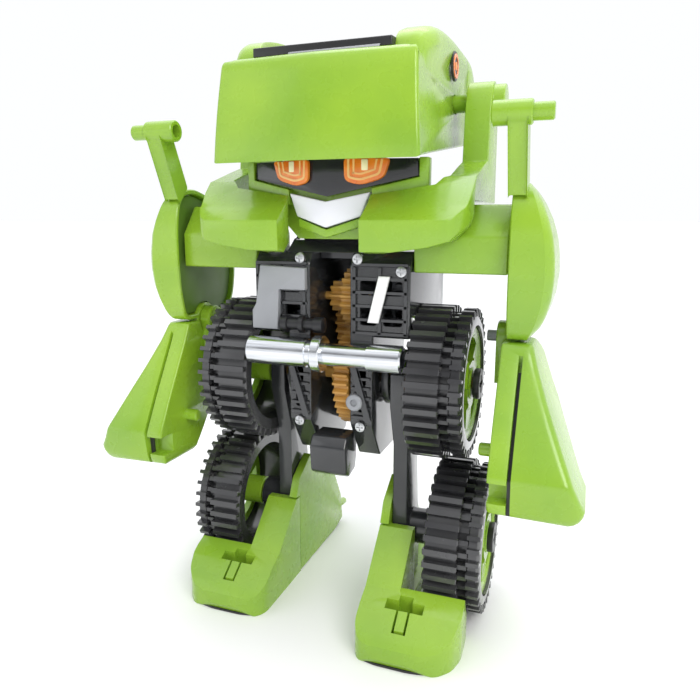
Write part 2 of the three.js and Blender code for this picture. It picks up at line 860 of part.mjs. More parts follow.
// ---------------------------------------------------------------- arms
function upperArm() {
  const side = [
    [-15.5, 79.5],
    [-17.6, 88],
    [-18.3, 98],
    [-18, 107],
    [-16.5, 114],
    [-13, 117.3],
    [-8, 118],
    [0, 116],
    [8, 110.5],
    [13, 102],
    [14.4, 93],
    [12.4, 84],
    [8, 79.5],
  ];
  const front = [
    [ARM_INNER_X, 79.5],
    [52.5, 79.5],
    [55.8, 86],
    [57.2, 95],
    [56.4, 105],
    [53.6, 113],
    [50.5, 118.5],
    [ARM_INNER_X, 118.5],
  ];
  const shell = sideSlab(side, [ARM_INNER_X, 58]).intersect(frontSlab(front, [-20, 16]));
  return cut(
    join(shell, rod(KNUCKLE.x, ELBOW_AXIS, KNUCKLE.radius)),
    rod([ARM_INNER_X - 1, ARM_INNER_X + 2.8], ARM_AXIS, SHOULDER_PEG_RADIUS + FIT_GAP),
    rod([ARM_INNER_X - 1, KNUCKLE.x[1] + 0.2], ELBOW_AXIS, ELBOW_PIN_RADIUS + RUN_GAP, 16),
  );
}

function elbowPin() {
  return rod([40.4, KNUCKLE.x[1] - FIT_GAP], ELBOW_AXIS, ELBOW_PIN_RADIUS, 16);
}

// A round T-bar on a leaning stem, standing on the top of the upper arm.
function handle() {
  const bar = [-22, 132.4];
  const stem = [
    [-24.2, 131.5],
    [-20, 133],
    [-13.2, 118],
    [-16.9, 114.5],
  ];
  return cut(
    join(rod([41.9, 50.9], bar, 2.8, 20), rod([50.5, 55.5], bar, 2, 16), sideSlab(stem, [45.6, 50])),
    rod([41, 45], bar, 1.5, 14),
  );
}

function forearm() {
  const side = [
    [-15.5, 78.9],
    [-3, 78.9],
    [8.5, 73.6],
    [5, 62],
    [-8, 48],
    [-14.5, 38.6],
    [-30, 38.6],
    [-32, 49.5],
    [-17.5, 74],
  ];
  const front = [
    [45.4, 79],
    [53, 79],
    [57.5, 66],
    [67.9, 42],
    [66.6, 38.6],
    [45.4, 38.6],
  ];
  const shell = sideSlab(side, [45, 70]).intersect(frontSlab(front, [-40, 10]));
  const [y, z] = ELBOW_AXIS;
  const neck = block(ELBOW_LUG.x, [y - 4, y + 4], [z - 12, z]);
  const slitRoom = [
    [-18.6, 80],
    [-15, 73],
    [-29, 48.6],
    [-28, 36],
    [-40, 36],
    [-40, 80],
  ];
  return cut(
    join(
      cut(shell, rod([45, KNUCKLE.x[1] + FIT_GAP], ELBOW_AXIS, KNUCKLE.radius + 0.4)),
      neck,
      rod(ELBOW_LUG.x, ELBOW_AXIS, ELBOW_LUG.radius),
      rod([41.5, 46], [-18.5, 51.9], 1.7, 14),
    ),
    sideSlab(slitRoom, [50, 51]),
    rod([40, ELBOW_LUG.x[1] + 0.2], ELBOW_AXIS, ELBOW_PIN_RADIUS + RUN_GAP, 16),
  );
}

// ---------------------------------------------------------------- assembly
const legs = { left: new THREE.Group(), right: new THREE.Group() };
legs.left.position.y = -STRIDE_OFFSET;
legs.right.position.y = STRIDE_OFFSET;
robot.add(legs.left, legs.right);

addNode(robot, "gearbox_shell_left", gearboxShell(), SMOKE);
addMirrored(robot, "gearbox_shell_right", motorShell(), SMOKE);
addNode(robot, "chest_plate", chestPlate(), GREY);
addNode(robot, "hip_cross_tube", hipCrossTube(), SILVER);
addMirrored(robot, "motor_can", motorCan(), SILVER);
addMirrored(robot, "motor_end_cap", motorEndCap(), BLACK);
addNode(robot, "neck_bracket", neckBracket(), BLACK);
addNode(robot, "terminal_block", terminalBlock(), BLACK);
addNode(robot, "crotch_guard", crotchGuard(), SMOKE);
addNode(robot, "red_wire", wire(RED_ROUTE, 20), RED);
addNode(robot, "black_wire", wire(BLACK_ROUTE, 20), BLACK);
addPair(still, "shoulder_beam", shoulderBeam(), LIME);

addNode(robot, "face_frame", faceFrame(), LIME);
addNode(robot, "face_mask", faceMask(), BLACK);
addPair(still, "eye", eye(), ORANGE);
addNode(robot, "mouth_plate", mouthPlate(), WHITE);
addNode(robot, "chin_guard", chinGuard(), LIME);
addPair(still, "collar", collar(), LIME);

addNode(robot, "head_front_shell", headFrontShell(), LIME);
addNode(robot, "head_rear_shell", headRearShell(), LIME);
addNode(robot, "panel_bezel", panelBezel(), BLACK);
addNode(robot, "solar_panel", solarPanel(), CELL);
addPair(still, "side_badge", sideBadge(), ORANGE);

const firstGear = compoundGear(
  FIRST_AXIS,
  FIRST_PHASE,
  [FIRST_TEETH, LANES.outer],
  [SMALL_TEETH, LANES.middle],
);
const secondGear = compoundGear(
  SECOND_AXIS,
  SECOND_PHASE,
  [SECOND_TEETH, LANES.middle],
  [SMALL_TEETH, LANES.outer],
);
addNode(robot, "motor_pinion", motorPinion(), WHITE);
addNode(robot, "first_gear", firstGear, AMBER);
addNode(robot, "second_gear", secondGear, AMBER);
addNode(robot, "crank_gear", crankGearAndAxle(), AMBER);
addNode(robot, "crank_disc_left", crankDisc(180), SMOKE);
addMirrored(robot, "crank_disc_right", crankDisc(0), SMOKE);

addPair(still, "thigh_tyre", tyre(THIGH_WHEEL_X, CRANK_AXIS), SMOKE);
addPair(still, "thigh_hub", wheelHub(THIGH_WHEEL_X, CRANK_AXIS), LIME);
addPair(still, "thigh_axle_cap", thighAxleCap(), BLACK);
addPair(legs, "shin_tyre", tyre(SHIN_WHEEL_X, SHIN_AXIS), SMOKE);
addPair(legs, "shin_hub", wheelHub(SHIN_WHEEL_X, SHIN_AXIS), LIME);
addPair(legs, "shin_axle", shinAxle(), BLACK);
addPair(legs, "leg_plate", legPlate(), SMOKE);
addPair(legs, "foot", foot(), LIME);
addPair(legs, "heel_shield", heelShield(), LIME);

addPair(still, "upper_arm", upperArm(), LIME);
addPair(still, "handle", handle(), LIME);
addPair(still, "forearm", forearm(), LIME);
addPair(still, "elbow_pin", elbowPin(), GREY);

export default robot;
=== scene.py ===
"""Looks of the solar robot kit in its standing form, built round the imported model.

Outlines and sizes are in millimetres, as the model's own are, and a mesh becomes metres when its
object is made. The robot faces -Y and its left side is +X.
"""

import logging
import math
from collections.abc import Callable, Iterable, Sequence
from dataclasses import dataclass
from enum import Enum

import bmesh
import bpy
from mathutils import Matrix, Vector


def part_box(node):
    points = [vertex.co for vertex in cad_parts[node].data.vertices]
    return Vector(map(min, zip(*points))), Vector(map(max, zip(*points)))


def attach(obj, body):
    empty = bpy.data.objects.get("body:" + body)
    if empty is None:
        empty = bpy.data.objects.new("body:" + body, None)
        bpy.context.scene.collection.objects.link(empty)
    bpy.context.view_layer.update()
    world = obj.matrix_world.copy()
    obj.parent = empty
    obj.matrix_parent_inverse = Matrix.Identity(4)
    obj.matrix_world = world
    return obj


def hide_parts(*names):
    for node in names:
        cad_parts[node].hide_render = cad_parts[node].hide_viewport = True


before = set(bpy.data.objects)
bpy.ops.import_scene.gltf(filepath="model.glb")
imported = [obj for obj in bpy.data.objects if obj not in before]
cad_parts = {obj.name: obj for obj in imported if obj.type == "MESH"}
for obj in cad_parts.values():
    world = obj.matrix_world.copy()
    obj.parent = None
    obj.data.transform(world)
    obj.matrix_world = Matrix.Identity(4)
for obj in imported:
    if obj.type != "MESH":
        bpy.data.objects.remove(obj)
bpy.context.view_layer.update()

log = logging.getLogger("solar_robot")

MM = 0.001
Point = tuple[float, float]
Span = tuple[float, float]
Colour = tuple[float, float, float]
Ring = list[Vector]


class Side(Enum):
    """Which side of the robot a piece is on. The value is the sign of its X."""

    LEFT = 1
    RIGHT = -1

    @property
    def label(self) -> str:
        """The word that ends the side's node and body names."""
        return self.name.lower()


class Plane(Enum):
    """The view in which an outline is drawn. It is thick along the remaining axis."""

    SIDE = "Y and Z, thick along X"
    FRONT = "X and Z, thick along Y"
    TOP = "X and Y, thick along Z"

    def point(self, a: float, b: float, depth: float) -> Vector:
        """One outline point at a depth, in the model's axes.

        Args:
            a: The outline's first coordinate.
            b: The outline's second coordinate.
            depth: The place along the axis in which the outline is thick.

        Returns:
            The point.
        """
        if self is Plane.SIDE:
            return Vector((depth, a, b))
        if self is Plane.FRONT:
            return Vector((a, depth, b))
        return Vector((a, b, depth))


# ---------------------------------------------------------------- finishes
class Surface:
    """A node material under construction, patterned on Object coordinates."""

    def __init__(self, name: str) -> None:
        """Starts a material with a Principled shader.

        Args:
            name: The material's name.
        """
        self.material = bpy.data.materials.new(name)
        self.material.use_nodes = True
        self.tree = self.material.node_tree
        self.tree.nodes.clear()
        output = self.add("ShaderNodeOutputMaterial")
        self.shader = self.add("ShaderNodeBsdfPrincipled")
        self.join(self.shader.outputs["BSDF"], output.inputs["Surface"])
        self.place = self.add("ShaderNodeTexCoord").outputs["Object"]

    def add(self, kind: str, **settings: object) -> bpy.types.Node:
        """Adds a node and sets its own properties.

        Args:
            kind: The node's type name.
            settings: Properties of the node.

        Returns:
            The node.
        """
        node = self.tree.nodes.new(kind)
        for key, value in settings.items():
            setattr(node, key, value)
        return node

    def join(self, source: bpy.types.NodeSocket, target: bpy.types.NodeSocket) -> None:
        """Links two sockets."""
        self.tree.links.new(source, target)

    def fix(self, **values: object) -> None:
        """Sets sockets of the shader that are the same all over, such as Coat_Weight."""
        for key, value in values.items():
            self.shader.inputs[key.replace("_", " ")].default_value = value

    def stretched(self, stretch: tuple[float, float, float]) -> bpy.types.NodeSocket:
        """Object coordinates scaled along each axis.

        Args:
            stretch: The scale along each axis.

        Returns:
            The coordinates' socket.
        """
        mapping = self.add("ShaderNodeMapping")
        mapping.inputs["Scale"].default_value = stretch
        self.join(self.place, mapping.inputs["Vector"])
        return mapping.outputs["Vector"]

    def noise(
        self, scale: float, detail: float = 2.0, stretch: tuple[float, float, float] | None = None
    ) -> bpy.types.NodeSocket:
        """A noise pattern from 0 to 1.

        Args:
            scale: Features per metre.
            detail: Octaves.
            stretch: Scale along each axis, or None for an even pattern.

        Returns:
            The pattern's socket.
        """
        node = self.add("ShaderNodeTexNoise")
        node.inputs["Scale"].default_value = scale
        node.inputs["Detail"].default_value = detail
        self.join(self.stretched(stretch) if stretch else self.place, node.inputs["Vector"])
        return node.outputs["Fac"]

    def spread(
        self, pattern: bpy.types.NodeSocket, low: float, high: float, start: float = 0.3, end: float = 0.7
    ) -> bpy.types.NodeSocket:
        """Maps one range of a pattern onto another.

        Args:
            pattern: The pattern.
            low: The result where the pattern is at start or below.
            high: The result where the pattern is at end or above.
            start: The low end of the pattern's range.
            end: The high end of the pattern's range.

        Returns:
            The result's socket.
        """
        node = self.add("ShaderNodeMapRange")
        for key, value in {"From Min": start, "From Max": end, "To Min": low, "To Max": high}.items():
            node.inputs[key].default_value = value
        self.join(pattern, node.inputs["Value"])
        return node.outputs["Result"]

    def blend_tones(self, pattern: bpy.types.NodeSocket, tones: Sequence[tuple[float, Colour]]) -> None:
        """Colours the shader by a ramp over a pattern.

        Args:
            pattern: The pattern, from 0 to 1.
            tones: (place on the ramp, colour) pairs, in order.
        """
        ramp = self.add("ShaderNodeValToRGB")
        elements = ramp.color_ramp.elements
        while len(elements) < len(tones):
            elements.new(0.5)
        for element, (position, colour) in zip(elements, tones):
            element.position = position
            element.color = (*colour, 1.0)
        self.join(pattern, ramp.inputs["Fac"])
        self.join(ramp.outputs["Color"], self.shader.inputs["Base Color"])

    def vary_roughness(self, pattern: bpy.types.NodeSocket, low: float, high: float) -> None:
        """Varies the shader's roughness over a pattern."""
        self.join(self.spread(pattern, low, high), self.shader.inputs["Roughness"])

    def relief(self, layers: Sequence[tuple[bpy.types.NodeSocket, float]]) -> None:
        """Adds bump layers, one on top of the other.

        Args:
            layers: Each layer's pattern and its height in metres.
        """
        previous = None
        for pattern, height in layers:
            bump = self.add("ShaderNodeBump")
            bump.inputs["Strength"].default_value = 1.0
            bump.inputs["Distance"].default_value = height
            self.join(pattern, bump.inputs["Height"])
            if previous is not None:
                self.join(previous, bump.inputs["Normal"])
            previous = bump.outputs["Normal"]
        self.join(previous, self.shader.inputs["Normal"])


@dataclass(frozen=True)
class MouldedPlastic:
    """Moulded plastic: a slow drift of tone, a fine mould grain and faint handling marks."""

    name: str
    tone: Colour
    deep_tone: Colour
    roughness: Span
    grain_height: float = 2.5e-6
    mark_height: float = 1.5e-6
    drift_scale: float = 38.0
    coat: float = 0.0
    transmission: float = 0.0
    gloss_scale: float = 210.0
    grain_scale: float = 3800.0
    mark_scale: float = 900.0
    mark_stretch: tuple[float, float, float] = (1.0, 6.0, 1.0)
    coat_roughness: float = 0.08
    refraction: float = 1.5

    def build(self) -> bpy.types.Material:
        """Makes the material.

        Returns:
            The material.
        """
        surface = Surface(self.name)
        drift = surface.noise(self.drift_scale, 3.0)
        surface.blend_tones(drift, [(0.32, self.deep_tone), (0.68, self.tone)])
        surface.vary_roughness(surface.noise(self.gloss_scale, 4.0), *self.roughness)
        marks = surface.noise(self.mark_scale, 3.0, self.mark_stretch)
        surface.relief([(surface.noise(self.grain_scale), self.grain_height), (marks, self.mark_height)])
        surface.fix(IOR=self.refraction, Transmission_Weight=self.transmission)
        surface.fix(Coat_Weight=self.coat, Coat_Roughness=self.coat_roughness)
        return surface.material


@dataclass(frozen=True)
class DrawnMetal:
    """Bright metal with fine lines drawn along X and a few dull patches."""

    name: str
    tone: Colour
    deep_tone: Colour
    roughness: Span
    line_height: float = 5e-6
    line_scale: float = 1500.0
    line_stretch: tuple[float, float, float] = (0.04, 1.0, 1.0)
    patch_scale: float = 160.0

    def build(self) -> bpy.types.Material:
        """Makes the material.

        Returns:
            The material.
        """
        surface = Surface(self.name)
        lines = surface.noise(self.line_scale, 4.0, self.line_stretch)
        surface.blend_tones(lines, [(0.3, self.deep_tone), (0.7, self.tone)])
        surface.vary_roughness(surface.noise(self.patch_scale, 3.0), *self.roughness)
        surface.relief([(lines, self.line_height)])
        surface.fix(Metallic=1.0)
        return surface.material


@dataclass(frozen=True)
class CellGlass:
    """Solar cells under clear resin: dark blue crystal flakes below a glossy coat."""

    name: str
    tones: tuple[Colour, Colour, Colour]
    flake_scale: float = 420.0
    gloss_scale: float = 90.0
    roughness: Span = (0.12, 0.24)
    wave_scale: float = 60.0
    wave_height: float = 2e-5

    def build(self) -> bpy.types.Material:
        """Makes the material.

        Returns:
            The material.
        """
        surface = Surface(self.name)
        flakes = surface.add("ShaderNodeTexVoronoi")
        flakes.inputs["Scale"].default_value = self.flake_scale
        surface.join(surface.place, flakes.inputs["Vector"])
        split = surface.add("ShaderNodeSeparateColor")
        surface.join(flakes.outputs["Color"], split.inputs["Color"])
        dark, middle, light = self.tones
        surface.blend_tones(split.outputs["Red"], [(0.1, dark), (0.5, middle), (0.95, light)])
        surface.vary_roughness(surface.noise(self.gloss_scale), *self.roughness)
        surface.relief([(surface.noise(self.wave_scale), self.wave_height)])
        surface.fix(Coat_Weight=0.8, Coat_Roughness=0.05)
        return surface.material


LIME = MouldedPlastic("lime_gloss", (0.28, 0.47, 0.028), (0.2, 0.38, 0.025), (0.25, 0.3), coat=0.3)
# Darker lime for the plate in the upper arm's hollow: painted shade for the shadow there.
LIME_PAINTED_SHADE = MouldedPlastic("lime_satin_inside", (0.1, 0.19, 0.022), (0.07, 0.14, 0.018), (0.4, 0.52))
SMOKE = MouldedPlastic(
    "smoke_clear", (0.075, 0.079, 0.084), (0.04, 0.042, 0.046), (0.1, 0.2), coat=0.4, transmission=0.55
)
SMOKE_SOLID = MouldedPlastic(
    "smoke_moulded", (0.045, 0.047, 0.05), (0.02, 0.021, 0.024), (0.14, 0.26), coat=0.4
)
TREAD = MouldedPlastic("tread_smoke", (0.06, 0.06, 0.063), (0.022, 0.022, 0.025), (0.14, 0.28), coat=0.5)
AMBER = MouldedPlastic("amber_nylon", (0.56, 0.31, 0.07), (0.42, 0.21, 0.045), (0.3, 0.42))
NYLON = MouldedPlastic("white_nylon", (0.84, 0.84, 0.83), (0.74, 0.75, 0.76), (0.3, 0.42))
BLACK = MouldedPlastic("black_satin", (0.022, 0.022, 0.024), (0.012, 0.012, 0.014), (0.28, 0.42))
MASK = MouldedPlastic("mask_gloss_black", (0.02, 0.021, 0.024), (0.009, 0.009, 0.011), (0.16, 0.28), coat=0.4)
GREY = MouldedPlastic("grey_satin", (0.32, 0.33, 0.35), (0.24, 0.25, 0.27), (0.3, 0.42))
MOUTH = MouldedPlastic("white_gloss", (0.86, 0.86, 0.9), (0.74, 0.75, 0.82), (0.18, 0.28), coat=0.3)
EYE = MouldedPlastic(
    "eye_orange", (0.95, 0.28, 0.02), (0.8, 0.16, 0.01), (0.2, 0.3), drift_scale=260.0, coat=0.4
)
EYE_PALE = MouldedPlastic("eye_pale_ring", (1.0, 0.62, 0.22), (0.95, 0.48, 0.12), (0.25, 0.3), coat=0.3)
EYE_SPOT = MouldedPlastic("eye_spot", (1.0, 0.93, 0.6), (1.0, 0.85, 0.4), (0.2, 0.3), coat=0.4)
RED_LEAD = MouldedPlastic("red_lead", (0.4, 0.02, 0.015), (0.26, 0.012, 0.01), (0.35, 0.5))
BLACK_LEAD = MouldedPlastic("black_lead", (0.02, 0.02, 0.02), (0.01, 0.01, 0.01), (0.35, 0.5))
TUBE_METAL = DrawnMetal("bright_tube", (0.82, 0.84, 0.87), (0.6, 0.62, 0.66), (0.12, 0.26))
CAN_METAL = DrawnMetal("motor_steel", (0.6, 0.61, 0.63), (0.42, 0.43, 0.45), (0.22, 0.36))
SCREW_METAL = DrawnMetal("screw_zinc", (0.66, 0.67, 0.68), (0.42, 0.43, 0.44), (0.2, 0.34))
CELL = CellGlass("solar_cell", ((0.004, 0.007, 0.022), (0.008, 0.016, 0.055), (0.02, 0.04, 0.11)))

Finish = MouldedPlastic | DrawnMetal | CellGlass
_built: dict[str, bpy.types.Material] = {}


def material_of(finish: Finish) -> bpy.types.Material:
    """The finish's material, made once.

    Args:
        finish: The finish.

    Returns:
        The material.
    """
    if finish.name not in _built:
        _built[finish.name] = finish.build()
    return _built[finish.name]


# ---------------------------------------------------------------- outlines
CORNER_SHARE = 0.48  # The most of an edge that the rounding of one corner takes.
MITRE_FLOOR = 0.35  # Keeps a sharp corner from being moved too far.


def arc(centre: Point, radius: float, start: float, end: float, steps: int) -> list[Point]:
    """Points along an arc.

    Args:
        centre: The arc's centre.
        radius: Its radius.
        start: The first point's angle, in degrees.
        end: The last point's angle, in degrees.
        steps: The number of stretches between points.

    Returns:
        The points, one more than the steps.
    """
    angles = [math.radians(start + (end - start) * i / steps) for i in range(steps + 1)]
    return [(centre[0] + radius * math.cos(a), centre[1] + radius * math.sin(a)) for a in angles]


def circle(centre: Point, radius: float, sides: int = 48) -> list[Point]:
    """A round outline."""
    return arc(centre, radius, 0, 360 - 360 / sides, sides - 1)


def rectangle(x: Span, y: Span) -> list[Point]:
    """An upright rectangular outline, anticlockwise."""
    return [(x[0], y[0]), (x[1], y[0]), (x[1], y[1]), (x[0], y[1])]


def rounded(outline: Sequence[Point], radius: float | Sequence[float], steps: int = 4) -> list[Point]:
    """An outline with its corners rounded.

    Args:
        outline: The corners.
        radius: How far from a corner its rounding starts, or one such distance for each corner.
        steps: Stretches in each rounding.

    Returns:
        The rounded outline, with steps + 1 points for each corner.
    """
    reach = [radius] * len(outline) if isinstance(radius, (int, float)) else list(radius)
    points = [Vector(p) for p in outline]
    result = []
    for i, corner in enumerate(points):
        back, ahead = points[i - 1] - corner, points[(i + 1) % len(points)] - corner
        start = corner + back.normalized() * min(reach[i], CORNER_SHARE * back.length)
        end = corner + ahead.normalized() * min(reach[i], CORNER_SHARE * ahead.length)
        for k in range(steps + 1):
            t = k / steps
            p = start * (1 - t) ** 2 + corner * (2 * t * (1 - t)) + end * t**2
            result.append((p.x, p.y))
    return result


def inset(outline: Sequence[Point], amount: float) -> list[Point]:
    """An outline moved inwards, with its corners mitred.

    Args:
        outline: The outline, anticlockwise.
        amount: How far it moves in, or out if it is negative.

    Returns:
        The moved outline, with as many points.
    """
    points = [Vector(p) for p in outline]
    result = []
    for i, point in enumerate(points):
        before = (point - points[i - 1]).normalized()
        after = (points[(i + 1) % len(points)] - point).normalized()
        first, second = Vector((-before.y, before.x)), Vector((-after.y, after.x))
        shift = (first + second) / max(MITRE_FLOOR, 1 + first.dot(second))
        result.append((point.x + shift.x * amount, point.y + shift.y * amount))
    return result


# ---------------------------------------------------------------- meshes
WELD = 2e-6  # Points closer than this are one, in metres.
FLAT = math.radians(1.0)  # Faces that meet at less than this are one.
SHARP = 0.01  # The rounding of an edge that looks sharp, in millimetres.


def new_object(name: str, work: bmesh.types.BMesh) -> bpy.types.Object:
    """Makes an object of a mesh drawn in millimetres.

    Args:
        name: The object's name.
        work: The mesh, which is used up.

    Returns:
        The object, linked to the scene.
    """
    work.transform(Matrix.Scale(MM, 4))
    mesh = bpy.data.meshes.new(name)
    work.to_mesh(mesh)
    work.free()
    piece = bpy.data.objects.new(name, mesh)
    bpy.context.scene.collection.objects.link(piece)
    return piece


def loft(name: str, rings: Sequence[Ring]) -> bpy.types.Object:
    """A closed body through rings of equally many points, with flat ends.

    Args:
        name: The object's name.
        rings: The rings, in order.

    Returns:
        The object.
    """
    work = bmesh.new()
    rows = [[work.verts.new(p) for p in ring] for ring in rings]
    for low, high in zip(rows, rows[1:]):
        for i, vert in enumerate(low):
            after = (i + 1) % len(low)
            work.faces.new((vert, low[after], high[after], high[i]))
    work.faces.new(rows[0][::-1])
    work.faces.new(rows[-1])
    bmesh.ops.recalc_face_normals(work, faces=work.faces)
    return new_object(name, work)


def edge_steps(span: Span, radius: Span, steps: int = 3) -> list[Span]:
    """Depths and insets that round both ends of an extrusion.

    Args:
        span: The extrusion's low and high end.
        radius: The rounding at the low and at the high end.
        steps: Stretches in each rounding.

    Returns:
        (depth, inset) pairs from the low end to the high end.
    """
    (low, high), (r_low, r_high) = span, radius
    angles = [math.pi / 2 * k / steps for k in range(steps + 1)]
    start = [(low + r_low * (1 - math.sin(a)), r_low * (1 - math.cos(a))) for a in reversed(angles)]
    end = [(high - r_high * (1 - math.sin(a)), r_high * (1 - math.cos(a))) for a in angles]
    return start + end


def pad(
    name: str,
    outline: Sequence[Point],
    span: Span,
    plane: Plane,
    radius: float | Span = 0.4,
    steps: int = 3,
) -> bpy.types.Object:
    """An outline made thick, with rounded edges at both ends.

    Args:
        name: The object's name.
        outline: The outline, anticlockwise.
        span: Its low and high end along the remaining axis.
        plane: The view in which it is drawn.
        radius: The rounding of both ends, or one for each.
        steps: Stretches in each rounding.

    Returns:
        The object.
    """
    radii = (radius, radius) if isinstance(radius, (int, float)) else radius
    rings = [
        [plane.point(a, b, depth) for a, b in inset(outline, amount)]
        for depth, amount in edge_steps(span, radii, steps)
    ]
    return loft(name, rings)


def turned(name: str, profile: Sequence[Point], centre: Point, sides: int = 48) -> bpy.types.Object:
    """A body turned about an axis along X.

    Args:
        name: The object's name.
        profile: (X, radius) points from one end to the other.
        centre: The axis's Y and Z.
        sides: Points round the axis.

    Returns:
        The object.
    """
    rings = [[Vector((x, y, z)) for y, z in circle(centre, radius, sides)] for x, radius in profile]
    return loft(name, rings)


def settle(piece: bpy.types.Object) -> bpy.types.Object:
    """Turns a piece's modifiers into its plain mesh.

    Args:
        piece: The piece.

    Returns:
        The piece.
    """
    graph = bpy.context.evaluated_depsgraph_get()
    mesh = bpy.data.meshes.new_from_object(piece.evaluated_get(graph), depsgraph=graph)
    piece.modifiers.clear()
    old = piece.data
    piece.data = mesh
    bpy.data.meshes.remove(old)
    return piece


def carve(
    piece: bpy.types.Object, cutters: Iterable[bpy.types.Object], how: str = "DIFFERENCE"
) -> bpy.types.Object:
    """Cuts other bodies out of a piece, or joins or intersects them, and uses them up.

    Args:
        piece: The piece.
        cutters: The other bodies.
        how: The boolean operation.

    Returns:
        The piece.
    """
    cutters = list(cutters)
    for cutter in cutters:
        modifier = piece.modifiers.new("carve", "BOOLEAN")
        modifier.operation = how
        modifier.solver = "MANIFOLD"
        modifier.object = cutter
    settle(piece)
    for cutter in cutters:
        bpy.data.objects.remove(cutter)
    return piece


def merge(name: str, pieces: Sequence[bpy.types.Object]) -> bpy.types.Object:
    """Gathers several bodies into one object and uses them up.

    Args:
        name: The new object's name.
        pieces: The bodies.

    Returns:
        The new object.
    """
    work = bmesh.new()
    for piece in pieces:
        work.from_mesh(piece.data)
        bpy.data.objects.remove(piece)
    mesh = bpy.data.meshes.new(name)
    work.to_mesh(mesh)
    work.free()
    whole = bpy.data.objects.new(name, mesh)
    bpy.context.scene.collection.objects.link(whole)
    return whole


def soften(piece: bpy.types.Object, width: float, segments: int = 3, angle: float = 32.0) -> bpy.types.Object:
    """Rounds a piece's sharp edges.

    Args:
        piece: The piece.
        width: The rounding, in millimetres.
        segments: Its stretches.
        angle: Edges sharper than this, in degrees, are rounded.

    Returns:
        The piece.
    """
    bevel = piece.modifiers.new("soften", "BEVEL")
    bevel.width = width * MM
    bevel.segments = segments
    bevel.limit_method = "ANGLE"
    bevel.angle_limit = math.radians(angle)
    bevel.use_clamp_overlap = True
    bevel.miter_outer = "MITER_ARC"
    return settle(piece)


def copy_of(node: str, name: str | None = None) -> bpy.types.Object:
    """A CAD node's shape as whole faces, ready to be worked on.

    Args:
        node: The node's name.
        name: The new object's name, by default the node's with a suffix.

    Returns:
        The object.
    """
    work = bmesh.new()
    work.from_mesh(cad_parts[node].data)
    bmesh.ops.remove_doubles(work, verts=work.verts, dist=WELD)
    bmesh.ops.dissolve_limit(work, angle_limit=FLAT, verts=work.verts, edges=work.edges)
    work.transform(Matrix.Scale(1 / MM, 4))
    return new_object(name or f"{node}_moulded", work)


def mirrored(piece: bpy.types.Object, name: str) -> bpy.types.Object:
    """A copy of a piece on the other side of the robot.

    Args:
        piece: The piece.
        name: The copy's name.

    Returns:
        The copy.
    """
    work = bmesh.new()
    work.from_mesh(piece.data)
    work.transform(Matrix.Diagonal((-1, 1, 1, 1)))
    bmesh.ops.reverse_faces(work, faces=work.faces)
    work.transform(Matrix.Scale(1 / MM, 4))
    return new_object(name, work)


def dress(
    piece: bpy.types.Object,
    finish: Finish,
    body: str,
    replaced: Sequence[str] = (),
    smooth: float = 34.0,
) -> bpy.types.Object:
    """Gives a finished mesh its material and its body.

    Args:
        piece: The piece.
        finish: Its finish.
        body: The body that it rides on.
        replaced: CAD nodes that it stands for.
        smooth: Edges flatter than this, in degrees, are shaded smooth.

    Returns:
        The piece.
    """
    mesh = piece.data
    mesh.materials.clear()
    mesh.materials.append(material_of(finish))
    mesh.polygons.foreach_set("material_index", [0] * len(mesh.polygons))
    mesh.polygons.foreach_set("use_smooth", [True] * len(mesh.polygons))
    mesh.set_sharp_from_angle(angle=math.radians(smooth))
    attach(piece, body)
    if replaced:
        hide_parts(*replaced)
    log.info("%-28s %6d faces, on %s", piece.name, len(mesh.polygons), body)
    return piece


def mould(node: str, finish: Finish, body: str, radius: float = 0.35) -> bpy.types.Object:
    """A CAD node's own shape with rounded edges, standing for the node.

    Args:
        node: The node's name.
        finish: Its finish.
        body: The body that it rides on.
        radius: The rounding of its edges, in millimetres.

    Returns:
        The piece.
    """
    return dress(soften(copy_of(node), radius), finish, body, [node])


